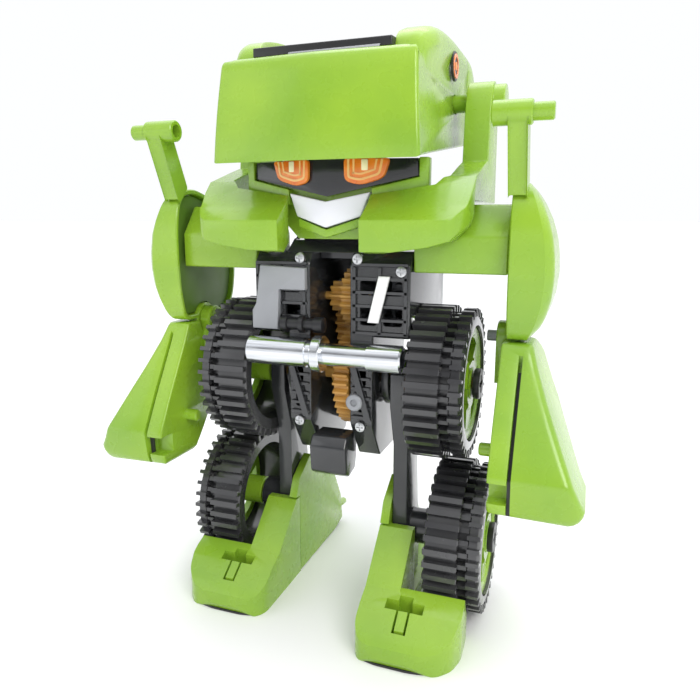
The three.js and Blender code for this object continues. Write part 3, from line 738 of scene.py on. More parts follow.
# ---------------------------------------------------------------- repeats
class Repeater:
    """A Geometry Nodes tree that repeats one shape, with its sizes as named inputs."""

    def __init__(self, name: str, inputs: dict[str, str]) -> None:
        """Starts the tree.

        Args:
            name: The tree's name.
            inputs: The named inputs and their socket types.
        """
        self.tree = bpy.data.node_groups.new(name, "GeometryNodeTree")
        face = self.tree.interface
        face.new_socket("Places", in_out="INPUT", socket_type="NodeSocketGeometry")
        face.new_socket("Shape", in_out="INPUT", socket_type="NodeSocketObject")
        for key, kind in inputs.items():
            face.new_socket(key, in_out="INPUT", socket_type=kind)
        face.new_socket("Finish", in_out="INPUT", socket_type="NodeSocketMaterial")
        face.new_socket("Repeated", in_out="OUTPUT", socket_type="NodeSocketGeometry")
        self.given = self.add("NodeGroupInput").outputs
        self.instances = self.add("GeometryNodeInstanceOnPoints")
        shape = self.add("GeometryNodeObjectInfo")
        self.join(self.given["Shape"], shape.inputs["Object"])
        self.join(shape.outputs["Geometry"], self.instances.inputs["Instance"])
        real = self.add("GeometryNodeRealizeInstances")
        painted = self.add("GeometryNodeSetMaterial")
        result = self.add("NodeGroupOutput")
        self.join(self.instances.outputs["Instances"], real.inputs["Geometry"])
        self.join(real.outputs["Geometry"], painted.inputs["Geometry"])
        self.join(self.given["Finish"], painted.inputs["Material"])
        self.join(painted.outputs["Geometry"], result.inputs["Repeated"])

    def add(self, kind: str, **settings: object) -> bpy.types.Node:
        """Adds a node and sets its own properties.

        Args:
            kind: The node's type name.
            settings: Properties of the node.

        Returns:
            The node.
        """
        node = self.tree.nodes.new(kind)
        for key, value in settings.items():
            setattr(node, key, value)
        return node

    def join(self, source: bpy.types.NodeSocket, target: bpy.types.NodeSocket) -> None:
        """Links two sockets."""
        self.tree.links.new(source, target)

    def sum(self, how: str, first: object, second: object) -> bpy.types.NodeSocket:
        """The result of a sum on numbers.

        Args:
            how: The operation.
            first: A socket or a plain number.
            second: Another one, or None where the operation takes one number.

        Returns:
            The result's socket.
        """
        node = self.add("ShaderNodeMath", operation=how)
        for place, value in enumerate((first, second)):
            if isinstance(value, bpy.types.NodeSocket):
                self.join(value, node.inputs[place])
            elif value is not None:
                node.inputs[place].default_value = value
        return node.outputs[0]

    def vector(
        self, how: str, first: bpy.types.NodeSocket, second: bpy.types.NodeSocket
    ) -> bpy.types.NodeSocket:
        """The result of a sum on vectors.

        Args:
            how: The operation.
            first: A vector.
            second: Another vector, or the number to scale the first by.

        Returns:
            The result's socket.
        """
        node = self.add("ShaderNodeVectorMath", operation=how)
        self.join(first, node.inputs[0])
        self.join(second, node.inputs["Scale" if how == "SCALE" else 1])
        return node.outputs[0]

    def run(
        self,
        name: str,
        shape: bpy.types.Object,
        finish: Finish,
        places: Sequence[tuple[Vector, Vector]] = (),
        **values: object,
    ) -> bpy.types.Object:
        """Repeats a shape and turns the result into a plain mesh.

        Args:
            name: The new object's name.
            shape: The shape, drawn at the origin. It is used up.
            finish: The finish of every copy.
            places: Points and directions for a tree that needs them, in millimetres.
            values: The tree's named inputs, with _ for a space.

        Returns:
            The new object.
        """
        mesh = bpy.data.meshes.new(name)
        mesh.from_pydata([point * MM for point, _ in places], [], [])
        if places:
            facing = mesh.attributes.new("facing", "FLOAT_VECTOR", "POINT")
            facing.data.foreach_set("vector", [c for _, way in places for c in way])
        piece = bpy.data.objects.new(name, mesh)
        bpy.context.scene.collection.objects.link(piece)
        modifier = piece.modifiers.new("repeat", "NODES")
        modifier.node_group = self.tree
        values = {"Shape": shape, "Finish": material_of(finish)} | values
        for item in self.tree.interface.items_tree:
            key = item.name.replace(" ", "_")
            if item.in_out == "INPUT" and key in values:
                modifier[item.identifier] = values[key]
        settle(piece)
        bpy.data.objects.remove(shape)
        return piece


def ring_repeater() -> Repeater:
    """Copies spread evenly round an axis along X, each turned with its place.

    Returns:
        The repeater.
    """
    tree = Repeater("ring_repeat", {"Count": "NodeSocketInt", "Radius": "NodeSocketFloat"} | {
        "Centre": "NodeSocketVector", "Phase": "NodeSocketFloat"})
    points = tree.add("GeometryNodePoints")
    tree.join(tree.given["Count"], points.inputs["Count"])
    index = tree.add("GeometryNodeInputIndex").outputs["Index"]
    pitch = tree.sum("DIVIDE", math.tau, tree.given["Count"])
    angle = tree.sum("ADD", tree.sum("MULTIPLY", index, pitch), tree.given["Phase"])
    spot = tree.add("ShaderNodeCombineXYZ")
    tree.join(tree.sum("MULTIPLY", tree.sum("COSINE", angle, None), tree.given["Radius"]), spot.inputs["Y"])
    tree.join(tree.sum("MULTIPLY", tree.sum("SINE", angle, None), tree.given["Radius"]), spot.inputs["Z"])
    tree.join(tree.vector("ADD", spot.outputs[0], tree.given["Centre"]), points.inputs["Position"])
    turn = tree.add("ShaderNodeCombineXYZ")
    tree.join(angle, turn.inputs["X"])
    rotation = tree.add("FunctionNodeEulerToRotation")
    tree.join(turn.outputs[0], rotation.inputs[0])
    tree.join(points.outputs[0], tree.instances.inputs["Points"])
    tree.join(rotation.outputs[0], tree.instances.inputs["Rotation"])
    return tree


def row_repeater() -> Repeater:
    """Copies in a straight row, a step apart.

    Returns:
        The repeater.
    """
    tree = Repeater("row_repeat", {
        "Count": "NodeSocketInt", "Start": "NodeSocketVector", "Step": "NodeSocketVector"})
    points = tree.add("GeometryNodePoints")
    tree.join(tree.given["Count"], points.inputs["Count"])
    index = tree.add("GeometryNodeInputIndex").outputs["Index"]
    shift = tree.vector("SCALE", tree.given["Step"], index)
    tree.join(tree.vector("ADD", tree.given["Start"], shift), points.inputs["Position"])
    tree.join(points.outputs[0], tree.instances.inputs["Points"])
    return tree


def spot_repeater() -> Repeater:
    """Copies at given points, each with its Z axis along the point's own direction.

    Returns:
        The repeater.
    """
    tree = Repeater("spot_repeat", {"Size": "NodeSocketFloat"})
    points = tree.add("GeometryNodeMeshToPoints")
    tree.join(tree.given["Places"], points.inputs["Mesh"])
    facing = tree.add("GeometryNodeInputNamedAttribute", data_type="FLOAT_VECTOR")
    facing.inputs["Name"].default_value = "facing"
    aligned = tree.add("FunctionNodeAlignRotationToVector", axis="Z")
    tree.join(facing.outputs["Attribute"], aligned.inputs["Vector"])
    tree.join(points.outputs[0], tree.instances.inputs["Points"])
    tree.join(aligned.outputs["Rotation"], tree.instances.inputs["Rotation"])
    tree.join(tree.given["Size"], tree.instances.inputs["Scale"])
    return tree


RINGS, ROWS, SPOTS = ring_repeater(), row_repeater(), spot_repeater()


# ---------------------------------------------------------------- shared shapes
def block(name: str, x: Span, y: Span, z: Span) -> bpy.types.Object:
    """A plain box, for cutting with."""
    return loft(name, [[Vector((a, b, depth)) for a, b in rectangle(x, y)] for depth in z])


def revolved(name: str, profile: Sequence[Point], centre: Point, sides: int = 64) -> bpy.types.Object:
    """A ring made by turning a closed profile about an axis along X.

    Args:
        name: The object's name.
        profile: (X, radius) points round the ring's cross-section.
        centre: The axis's Y and Z.
        sides: Points round the axis.

    Returns:
        The object.
    """
    work = bmesh.new()
    rows = [
        [work.verts.new((x, centre[0] + r * c, centre[1] + r * s)) for x, r in profile]
        for c, s in circle((0, 0), 1.0, sides)
    ]
    for i, row in enumerate(rows):
        after = rows[(i + 1) % sides]
        for k in range(len(profile)):
            nxt = (k + 1) % len(profile)
            work.faces.new((row[k], row[nxt], after[nxt], after[k]))
    bmesh.ops.recalc_face_normals(work, faces=work.faces)
    return new_object(name, work)


def band(
    name: str,
    outline: Sequence[Point],
    insets: Span,
    span: Span,
    place: Callable[[float, float, float], Vector],
) -> bpy.types.Object:
    """A flat closed strip that runs round an outline.

    Args:
        name: The object's name.
        outline: The outline, anticlockwise.
        insets: How far in its outer and its inner edge lie.
        span: Its low and high side.
        place: Turns an outline point and a depth into a place.

    Returns:
        The object.
    """
    outer, inner = inset(outline, insets[0]), inset(outline, insets[1])
    loops = [(outer, span[0]), (inner, span[0]), (inner, span[1]), (outer, span[1])]
    work = bmesh.new()
    rows = [[work.verts.new(place(a, b, depth)) for a, b in loop] for loop, depth in loops]
    for k, row in enumerate(rows):
        other = rows[(k + 1) % len(rows)]
        for i in range(len(row)):
            after = (i + 1) % len(row)
            work.faces.new((row[i], row[after], other[after], other[i]))
    bmesh.ops.recalc_face_normals(work, faces=work.faces)
    return new_object(name, work)


def swept(
    name: str, route: Sequence[Vector], radius: float, sides: int = 12, steps: int = 8
) -> bpy.types.Object:
    """A round lead along a smooth route.

    Args:
        name: The object's name.
        route: The points that it passes.
        radius: The lead's radius.
        sides: Points round it.
        steps: Stretches between two points of the route.

    Returns:
        The object.
    """
    ends = [route[0] * 2 - route[1], *route, route[-1] * 2 - route[-2]]
    path = []
    for a, b, c, d in zip(ends, ends[1:], ends[2:], ends[3:]):
        for k in range(steps):
            t = k / steps
            path.append(0.5 * (2 * b + (c - a) * t + (2 * a - 5 * b + 4 * c - d) * t**2
                               + (3 * b - a - 3 * c + d) * t**3))
    path.append(route[-1])
    across = (path[1] - path[0]).orthogonal().normalized()
    rings = []
    for i, point in enumerate(path):
        way = (path[min(i + 1, len(path) - 1)] - path[max(i - 1, 0)]).normalized()
        across = (across - way * across.dot(way)).normalized()
        up = way.cross(across)
        rings.append([point + (across * c + up * s) * radius for c, s in circle((0, 0), 1.0, sides)])
    return loft(name, rings)


def on_side(piece: bpy.types.Object, side: Side, name: str) -> bpy.types.Object:
    """Moves a piece that is drawn on the left over to a side.

    Args:
        piece: The piece, which is used up.
        side: The side that it is for.
        name: The name that it gets.

    Returns:
        The piece, mirrored if it is for the right.
    """
    if side is Side.RIGHT:
        drawn, piece = piece, mirrored(piece, name)
        bpy.data.objects.remove(drawn)
    piece.name = name
    return piece


def between(table: Sequence[Point], at: float) -> float:
    """Reads a value from a table, on straight lines between its entries.

    Args:
        table: (place, value) pairs, in rising order.
        at: The place to read at.

    Returns:
        The value.
    """
    for (a, low), (b, high) in zip(table, table[1:]):
        if at <= b:
            return low + (high - low) * max(0.0, (at - a) / (b - a))
    return table[-1][1]


def ease(at: float, start: float, end: float) -> float:
    """Rises smoothly from 0 at start to 1 at end."""
    t = min(1.0, max(0.0, (at - start) / (end - start)))
    return t * t * (3 - 2 * t)


def screw_head(radius: float = 1.5) -> bpy.types.Object:
    """A pan-head screw with a cross recess, standing on the origin and facing up Z.

    Args:
        radius: The head's radius.

    Returns:
        The object.
    """
    rings = [(radius, -0.4), (radius, 0.25), (radius * 0.9, 0.6), (radius * 0.6, 0.8)]
    head = loft("screw_head", [[Vector((x, y, z)) for x, y in circle((0, 0), r, 16)] for r, z in rings])
    long, short = (-0.62 * radius, 0.62 * radius), (-0.14 * radius, 0.14 * radius)
    slots = [block("slot", x, y, (0.35, 2)) for x, y in ((long, short), (short, long))]
    return carve(head, slots)


# ---------------------------------------------------------------- studio
@dataclass(frozen=True)
class Glow:
    """A smooth change of the surroundings' strength along one axis of the direction looked in."""

    axis: str
    start: Point
    end: Point
    how: str


@dataclass
class Studio:
    """The pale floor, the soft lights and the camera. Sizes are in metres."""

    eye: tuple[float, float, float] = (0.0646, -0.1764, 0.109)
    tilt: float = 78.6
    turn: float = 20.2
    lens: float = 33.2
    sensor: float = 36.0
    nearest: float = 0.005
    floor_reach: float = 40.0
    floor_depth: float = 0.006
    heart: tuple[float, float, float] = (0.0, 0.0, 0.09)
    world_tint: tuple[float, float, float, float] = (0.97, 0.98, 1.0, 1.0)
    glows: tuple[Glow, ...] = (
        Glow("Y", (-0.25, 0.24), (0.45, 1.02), "ADD"),
        Glow("Z", (0.16, 1.02), (0.3, 0.0), "MAXIMUM"),
        Glow("Z", (0.3, 0.0), (0.95, 1.15), "ADD"),
    )

    def set_camera(self) -> None:
        """Makes the camera."""
        data = bpy.data.cameras.new("camera")
        data.lens = self.lens
        data.sensor_width = self.sensor
        data.clip_start = self.nearest
        camera = bpy.data.objects.new("camera", data)
        camera.location = self.eye
        camera.rotation_euler = (math.radians(self.tilt), 0.0, math.radians(self.turn))
        bpy.context.scene.collection.objects.link(camera)
        bpy.context.scene.camera = camera

    def lay_floor(self) -> None:
        """Makes the floor, a wide pale disc."""
        reach = self.floor_reach / MM
        low = -self.floor_depth / MM
        rings = [[Vector((x, y, z)) for x, y in circle((0, 0), reach, 64)] for z in (low, 0.0)]
        floor = loft("floor", rings)
        surface = Surface("floor_paper")
        surface.blend_tones(surface.noise(9.0), [(0.3, (0.86, 0.86, 0.87)), (0.7, (0.9, 0.9, 0.9))])
        surface.vary_roughness(surface.noise(300.0), 0.55, 0.7)
        floor.data.materials.append(surface.material)

    def add_lamp(self, name: str, place: Vector, size: float, power: float, tint: Colour) -> None:
        """Adds one soft square lamp that faces the robot's middle.

        Args:
            name: The lamp's name.
            place: Where it hangs.
            size: Its side.
            power: Its power in watts.
            tint: Its colour.
        """
        data = bpy.data.lights.new(name, "AREA")
        data.size = size
        data.energy = power
        data.color = tint
        lamp = bpy.data.objects.new(name, data)
        lamp.location = place
        lamp.rotation_euler = (place - Vector(self.heart)).to_track_quat("Z", "Y").to_euler()
        bpy.context.scene.collection.objects.link(lamp)

    def surround(self) -> None:
        """Makes the pale surroundings, brighter behind the robot and overhead."""
        world = bpy.data.worlds.new("surroundings")
        world.use_nodes = True
        tree = world.node_tree
        background = tree.nodes["Background"]
        background.inputs["Color"].default_value = self.world_tint
        place = tree.nodes.new("ShaderNodeTexCoord")
        parts = tree.nodes.new("ShaderNodeSeparateXYZ")
        tree.links.new(place.outputs["Generated"], parts.inputs[0])
        total = None
        for glow in self.glows:
            ramp = tree.nodes.new("ShaderNodeMapRange")
            ramp.interpolation_type = "SMOOTHSTEP"
            for edge, (place_at, strength) in (("Min", glow.start), ("Max", glow.end)):
                ramp.inputs[f"From {edge}"].default_value = place_at
                ramp.inputs[f"To {edge}"].default_value = strength
            tree.links.new(parts.outputs[glow.axis], ramp.inputs["Value"])
            mix = tree.nodes.new("ShaderNodeMath")
            mix.operation = glow.how
            mix.inputs[0].default_value = 0.0
            tree.links.new(ramp.outputs["Result"], mix.inputs[1])
            if total:
                tree.links.new(total.outputs["Value"], mix.inputs[0])
            total = mix
        tree.links.new(total.outputs["Value"], background.inputs["Strength"])
        bpy.context.scene.world = world

    def light(self) -> None:
        """Hangs the soft lamps, and keeps the colours plain."""
        self.add_lamp("key", Vector((0.42, -0.42, 0.46)), 0.34, 2.3, (1.0, 0.98, 0.93))
        self.add_lamp("fill", Vector((-0.55, -0.4, 0.3)), 0.5, 0.7, (0.94, 0.97, 1.0))
        self.add_lamp("top", Vector((0.0, 0.12, 0.62)), 0.4, 0.8, (1.0, 1.0, 1.0))
        view = bpy.context.scene.view_settings
        view.view_transform = "Standard"
        view.look = "None"

    def build(self) -> None:
        """Makes camera, floor, surroundings and lights."""
        self.set_camera()
        self.lay_floor()
        self.surround()
        self.light()


# ---------------------------------------------------------------- head
@dataclass
class Head:
    """The visor head: front and rear shell, solar panel in its bezel, and side badges."""

    half_width: float = 27.0
    wall: float = 2.3
    seam: float = 27.0
    seam_gap: float = 0.3
    hump_side: Span = (18.1, 19.3)
    hump_nose: Span = (-20.4, -18.6)
    front_low: Point = (-30.0, 123.0)
    front_rise: Point = (2.6, 23.2)
    front_steps: int = 8
    front_taper: float = 0.066
    taper_start: Span = (12.0, 20.0)
    taper_height: float = 26.0
    prow: float = 0.055
    prow_blunt: float = 4.0
    crown: float = 0.5
    top_round: float = 3.6
    edge_round: float = 0.9
    back_start: float = 33.0
    back_reach: float = 8.2
    back_low: float = 145.0
    deck_front: Point = (-25.5, 148.2)
    deck_back: Point = (33.0, 153.2)
    pivot: Point = (12.0, 140.5)
    pivot_hole: float = 2.65
    hump_line: tuple[Point, ...] = (
        (-19.6, 147.4), (-19.0, 150.4), (-17.4, 152.8), (-14.0, 154.5), (-8.0, 156.0), (0.0, 157.0),
        (9.5, 157.5), (26.0, 157.5), (33.0, 157.2),
    )
    crest_places: tuple[float, ...] = (
        -25.5, -23, -21, -20.2, -19.8, -19.4, -19, -18.6, -18, -17, -15.5, -13, -10, -6, -2, 3, 8, 13, 18, 23,
        28, 33, 35.5, 37.6, 39.2, 40.4, 41.0, 41.2,
    )
    rear_line: tuple[Point, ...] = (
        (41.0, 142.6), (40.2, 139.8), (38.6, 136.9), (35.4, 134.2), (31.0, 131.4),
    )
    under_places: tuple[float, ...] = (20, 8, -4, -16, -24)
    section_places: tuple[float, ...] = (
        0, 3, 6, 10, 14, 17, 18.1, 18.4, 18.7, 19.0, 19.3, 20.5, 22, 23.4, 24.2, 25, 25.6,
    )
    room: tuple[Point, ...] = (
        (-27.2, 110), (-24.8, 143.6), (-23.2, 145.6), (32, 150.4), (38.4, 144.4), (36.4, 138), (29, 133.4),
        (29, 110),
    )
    badge: Point = (7.0, 149.4)
    badge_radius: float = 3.8
    finger_lift: float = 2.42
    fingers: int = 30
    bus_bars: int = 4
    bus_margin: float = 3.4

    def deck(self, y: float) -> float:
        """The height of the flat deck between the humps."""
        (y0, z0), (y1, z1) = self.deck_front, self.deck_back
        return z0 + (y - y0) * (z1 - z0) / (y1 - y0)

    def top(self, x: float, y: float) -> float:
        """The height of the head's top at a place.

        Args:
            x: The place's X.
            y: The place's Y.

        Returns:
            The height.
        """
        base = self.deck(min(y, self.back_start))
        crest = max(base, between(self.hump_line, min(y, self.back_start)))
        rise = ease(abs(x), *self.hump_side) * ease(y, *self.hump_nose)
        height = base + (crest - base) * rise
        out = max(0.0, abs(x) - (self.half_width - self.top_round))
        height -= self.top_round - math.sqrt(max(0.0, self.top_round**2 - out**2))
        if y > self.back_start:
            share = min(1.0, (y - self.back_start) / self.back_reach)
            height = self.back_low + (height - self.back_low) * math.sqrt(1 - share**2)
        return height

    def section(self, x: float) -> list[Point]:
        """The head's side outline.

        Args:
            x: The distance from the middle.

        Returns:
            The outline, from the visor's lower edge up and round to the back.
        """
        lean = self.prow * math.sqrt(x * x + self.prow_blunt)
        (low_y, low_z), (rise_y, rise_z) = self.front_low, self.front_rise
        front = []
        for k in range(self.front_steps + 1):
            t = k / self.front_steps
            y = low_y + lean + rise_y * t - self.crown * math.sin(math.pi * t)
            front.append((y, low_z + rise_z * t))
        brow = [(-27.1 + lean, 147.0), (-26.5 + lean, 147.7)]
        crest = [(y + (lean if y < -24 else 0), self.top(x, y)) for y in self.crest_places]
        rear_y, rear_z = self.rear_line[-1]
        fall = (rear_z - low_z) / (rear_y - low_y)
        under = [(y, rear_z + (y - rear_y) * fall) for y in self.under_places]
        return front + brow + crest + list(self.rear_line) + under

    def outer(self) -> bpy.types.Object:
        """The head's outside as one solid.

        Returns:
            The object.
        """
        end = self.half_width
        steps = [(x, 0.0) for x in self.section_places]
        steps += [(end - self.edge_round * (1 - math.sin(a)), self.edge_round * (1 - math.cos(a)))
                  for a in (0.0, 0.4, 0.8, 1.2, math.pi / 2)]
        rings = []
        for sign in (-1, 1):
            for x, amount in (steps[::-1] if sign < 0 else steps[1:]):
                outline = inset(self.section(x)[::-1], amount)[::-1]
                ring = []
                for y, z in outline:
                    height = (z - self.front_low[1]) / self.taper_height
                    narrow = self.front_taper * ease(-y, *self.taper_start) * height
                    ring.append(Vector((sign * x * (1 - narrow), y, z)))
                rings.append(ring)
        return loft("head_outer", rings)

    def hollow(self) -> list[bpy.types.Object]:
        """The room inside the head, and the holes for its pivots.

        Returns:
            The bodies to cut away.
        """
        half = self.half_width - self.wall
        reach = self.half_width + 1
        return [
            pad("room", rounded(self.room, 2.0), (-half, half), Plane.SIDE, 1.2),
            turned("pivot_hole", [(-reach, self.pivot_hole), (reach, self.pivot_hole)], self.pivot, 32),
        ]

    def shells(self) -> None:
        """The front and the rear shell, parted by the seam."""
        whole = carve(self.outer(), self.hollow())
        rear = bpy.data.objects.new("rear_shell", whole.data.copy())
        bpy.context.scene.collection.objects.link(rear)
        whole.name = "visor_shell"
        carve(whole, [block("behind", (-40, 40), (self.seam, 60), (90, 180))])
        carve(rear, [block("ahead", (-40, 40), (-60, self.seam + self.seam_gap), (90, 180))])
        dress(soften(whole, 0.35, 2, 40), LIME, "head", ["head_front_shell"], 30)
        dress(soften(rear, 0.35, 2, 40), LIME, "head", ["head_rear_shell"], 30)

    def solar_panel(self) -> None:
        """The panel with its cell fingers and bus bars, its bezel and a pale trim at the front."""
        mould("panel_bezel", BLACK, "head", 0.3)
        mould("solar_panel", CELL, "head", 0.12)
        low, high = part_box("solar_panel")
        x0, x1, y0, y1 = low.x / MM + 0.6, high.x / MM - 0.6, low.y / MM + 0.8, high.y / MM - 0.8
        first, last = self.deck(y0) + self.finger_lift, self.deck(y1) + self.finger_lift
        finger = block("finger", (x0, x1), (-0.045, 0.045), (-0.03, 0.03))
        step = Vector((0, y1 - y0, last - first)) / (self.fingers - 1)
        fingers = ROWS.run("cell_fingers", finger, SCREW_METAL, Count=self.fingers,
                           Start=Vector((0, y0, first)) * MM, Step=step * MM)
        bar_line = [(y0, first - 0.03), (y1, last - 0.03), (y1, last + 0.06), (y0, first + 0.06)]
        bar = pad("bus_bar", bar_line, (-0.35, 0.35), Plane.SIDE, 0.02, 1)
        pitch = (x1 - x0 - 2 * self.bus_margin) / (self.bus_bars - 1)
        bars = ROWS.run("bus_bars", bar, SCREW_METAL, Count=self.bus_bars,
                        Start=Vector((x0 + self.bus_margin, 0, 0)) * MM, Step=Vector((pitch, 0, 0)) * MM)
        dress(merge("cell_grid", [fingers, bars]), SCREW_METAL, "head")
        trim = [(-23.4, self.deck(-23.4) + 0.05), (-22.3, self.deck(-22.3) + 0.05),
                (-22.3, self.deck(-22.3) + 0.9), (-23.0, self.deck(-23.0) + 0.7)]
        dress(pad("panel_trim", rounded(trim, 0.2), (-8, 15.5), Plane.SIDE, 0.2), GREY, "head")

    def badges(self) -> None:
        """A round badge on each side: a black disc with an orange ring and dot."""
        inner, wide = self.half_width - 0.15, self.badge_radius
        disc = [(inner, wide), (inner + 0.45, wide), (inner + 0.6, wide - 0.2)]
        ring = [(inner + 0.5, 3.2), (inner + 0.8, 3.1), (inner + 0.8, 2.3), (inner + 0.5, 2.2)]
        dot = [(inner + 0.5, 1.1), (inner + 0.7, 1.1), (inner + 0.85, 0.8)]
        for side in Side:
            pieces = (
                ("badge_disc", turned("disc_drawn", disc, self.badge), BLACK, [f"side_badge_{side.label}"]),
                ("badge_ring", revolved("ring_drawn", ring, self.badge, 48), EYE, []),
                ("badge_dot", turned("dot_drawn", dot, self.badge, 32), EYE, []),
            )
            for name, piece, finish, replaced in pieces:
                placed = on_side(piece, side, f"{name}_{side.label}")
                dress(placed, finish, "head", replaced)

    def build(self) -> None:
        """Makes the head."""
        self.shells()
        self.solar_panel()
        self.badges()


# ---------------------------------------------------------------- face
@dataclass
class Face:
    """The face under the visor, and the jaw collar round it."""

    ridge: float = -18.5
    slope: float = 0.235
    eye_outline: tuple[Point, ...] = ((4.8, 124.2), (4.9, 118.6), (9.0, 117.6), (14.8, 119.4), (16.2, 124.2))
    ring_outline: tuple[Point, ...] = ((4.8, 129.2), (4.9, 118.6), (9.0, 117.6), (14.8, 119.4), (16.6, 129.2))
    eye_front: float = -1.3
    eye_corners: tuple[float, ...] = (1.0, 1.6, 1.6, 1.6, 1.0)
    spot: tuple[Span, Span] = ((9.3, 10.9), (121.2, 123.9))

    def on_front(self, side: Side, forward: float) -> Callable[[float, float, float], Vector]:
        """Places outline points on the mask's V.

        Args:
            side: The eye's side.
            forward: How far along Y the V is moved; below zero it is in front of the mask.

        Returns:
            A function that turns X, Z and a depth in front of the V into a place.
        """
        return lambda x, z, depth: Vector(
            (side.value * x, self.ridge + forward + self.slope * x - depth, z)
        )

    def eyes(self) -> None:
        """Each eye: an orange lens with nested pale rings and a light spot."""
        outline = rounded(self.eye_outline, self.eye_corners)
        for side in Side:
            place = self.on_front(side, self.eye_front)
            rings = [[place(x, z, depth) for x, z in inset(outline, amount)]
                     for depth, amount in ((-1.0, 0.0), (-0.1, 0.0), (0.12, 0.12), (0.2, 0.4))]
            lens = loft(f"eye_lens_{side.label}", rings)
            dress(lens, EYE, "torso", [f"eye_{side.label}"])
            tall = rounded(self.ring_outline, self.eye_corners)
            above = block("above", (-30, 30), (-40, 0), (123.95, 140))
            parts = [band("ring", tall, span, (0.1, 0.36), place) for span in ((0.95, 1.5), (2.3, 2.75))]
            rings_piece = carve(merge(f"eye_rings_{side.label}", parts), [above])
            dress(rings_piece, EYE_PALE, "torso")
            spot = rounded(rectangle(*self.spot), 0.3)
            rings = [[place(x, z, depth) for x, z in inset(spot, amount)]
                     for depth, amount in ((0.1, 0.0), (0.36, 0.0), (0.42, 0.1))]
            dress(loft(f"eye_spot_{side.label}", rings), EYE_SPOT, "torso")

    def build(self) -> None:
        """Makes the face and the collar."""
        mould("face_frame", LIME, "torso", 0.45)
        mould("face_mask", MASK, "torso", 0.2)
        mould("mouth_plate", MOUTH, "torso", 0.3)
        mould("chin_guard", LIME, "torso", 0.3)
        self.eyes()
        for side in Side:
            mould(f"collar_{side.label}", LIME, "torso", 0.9)


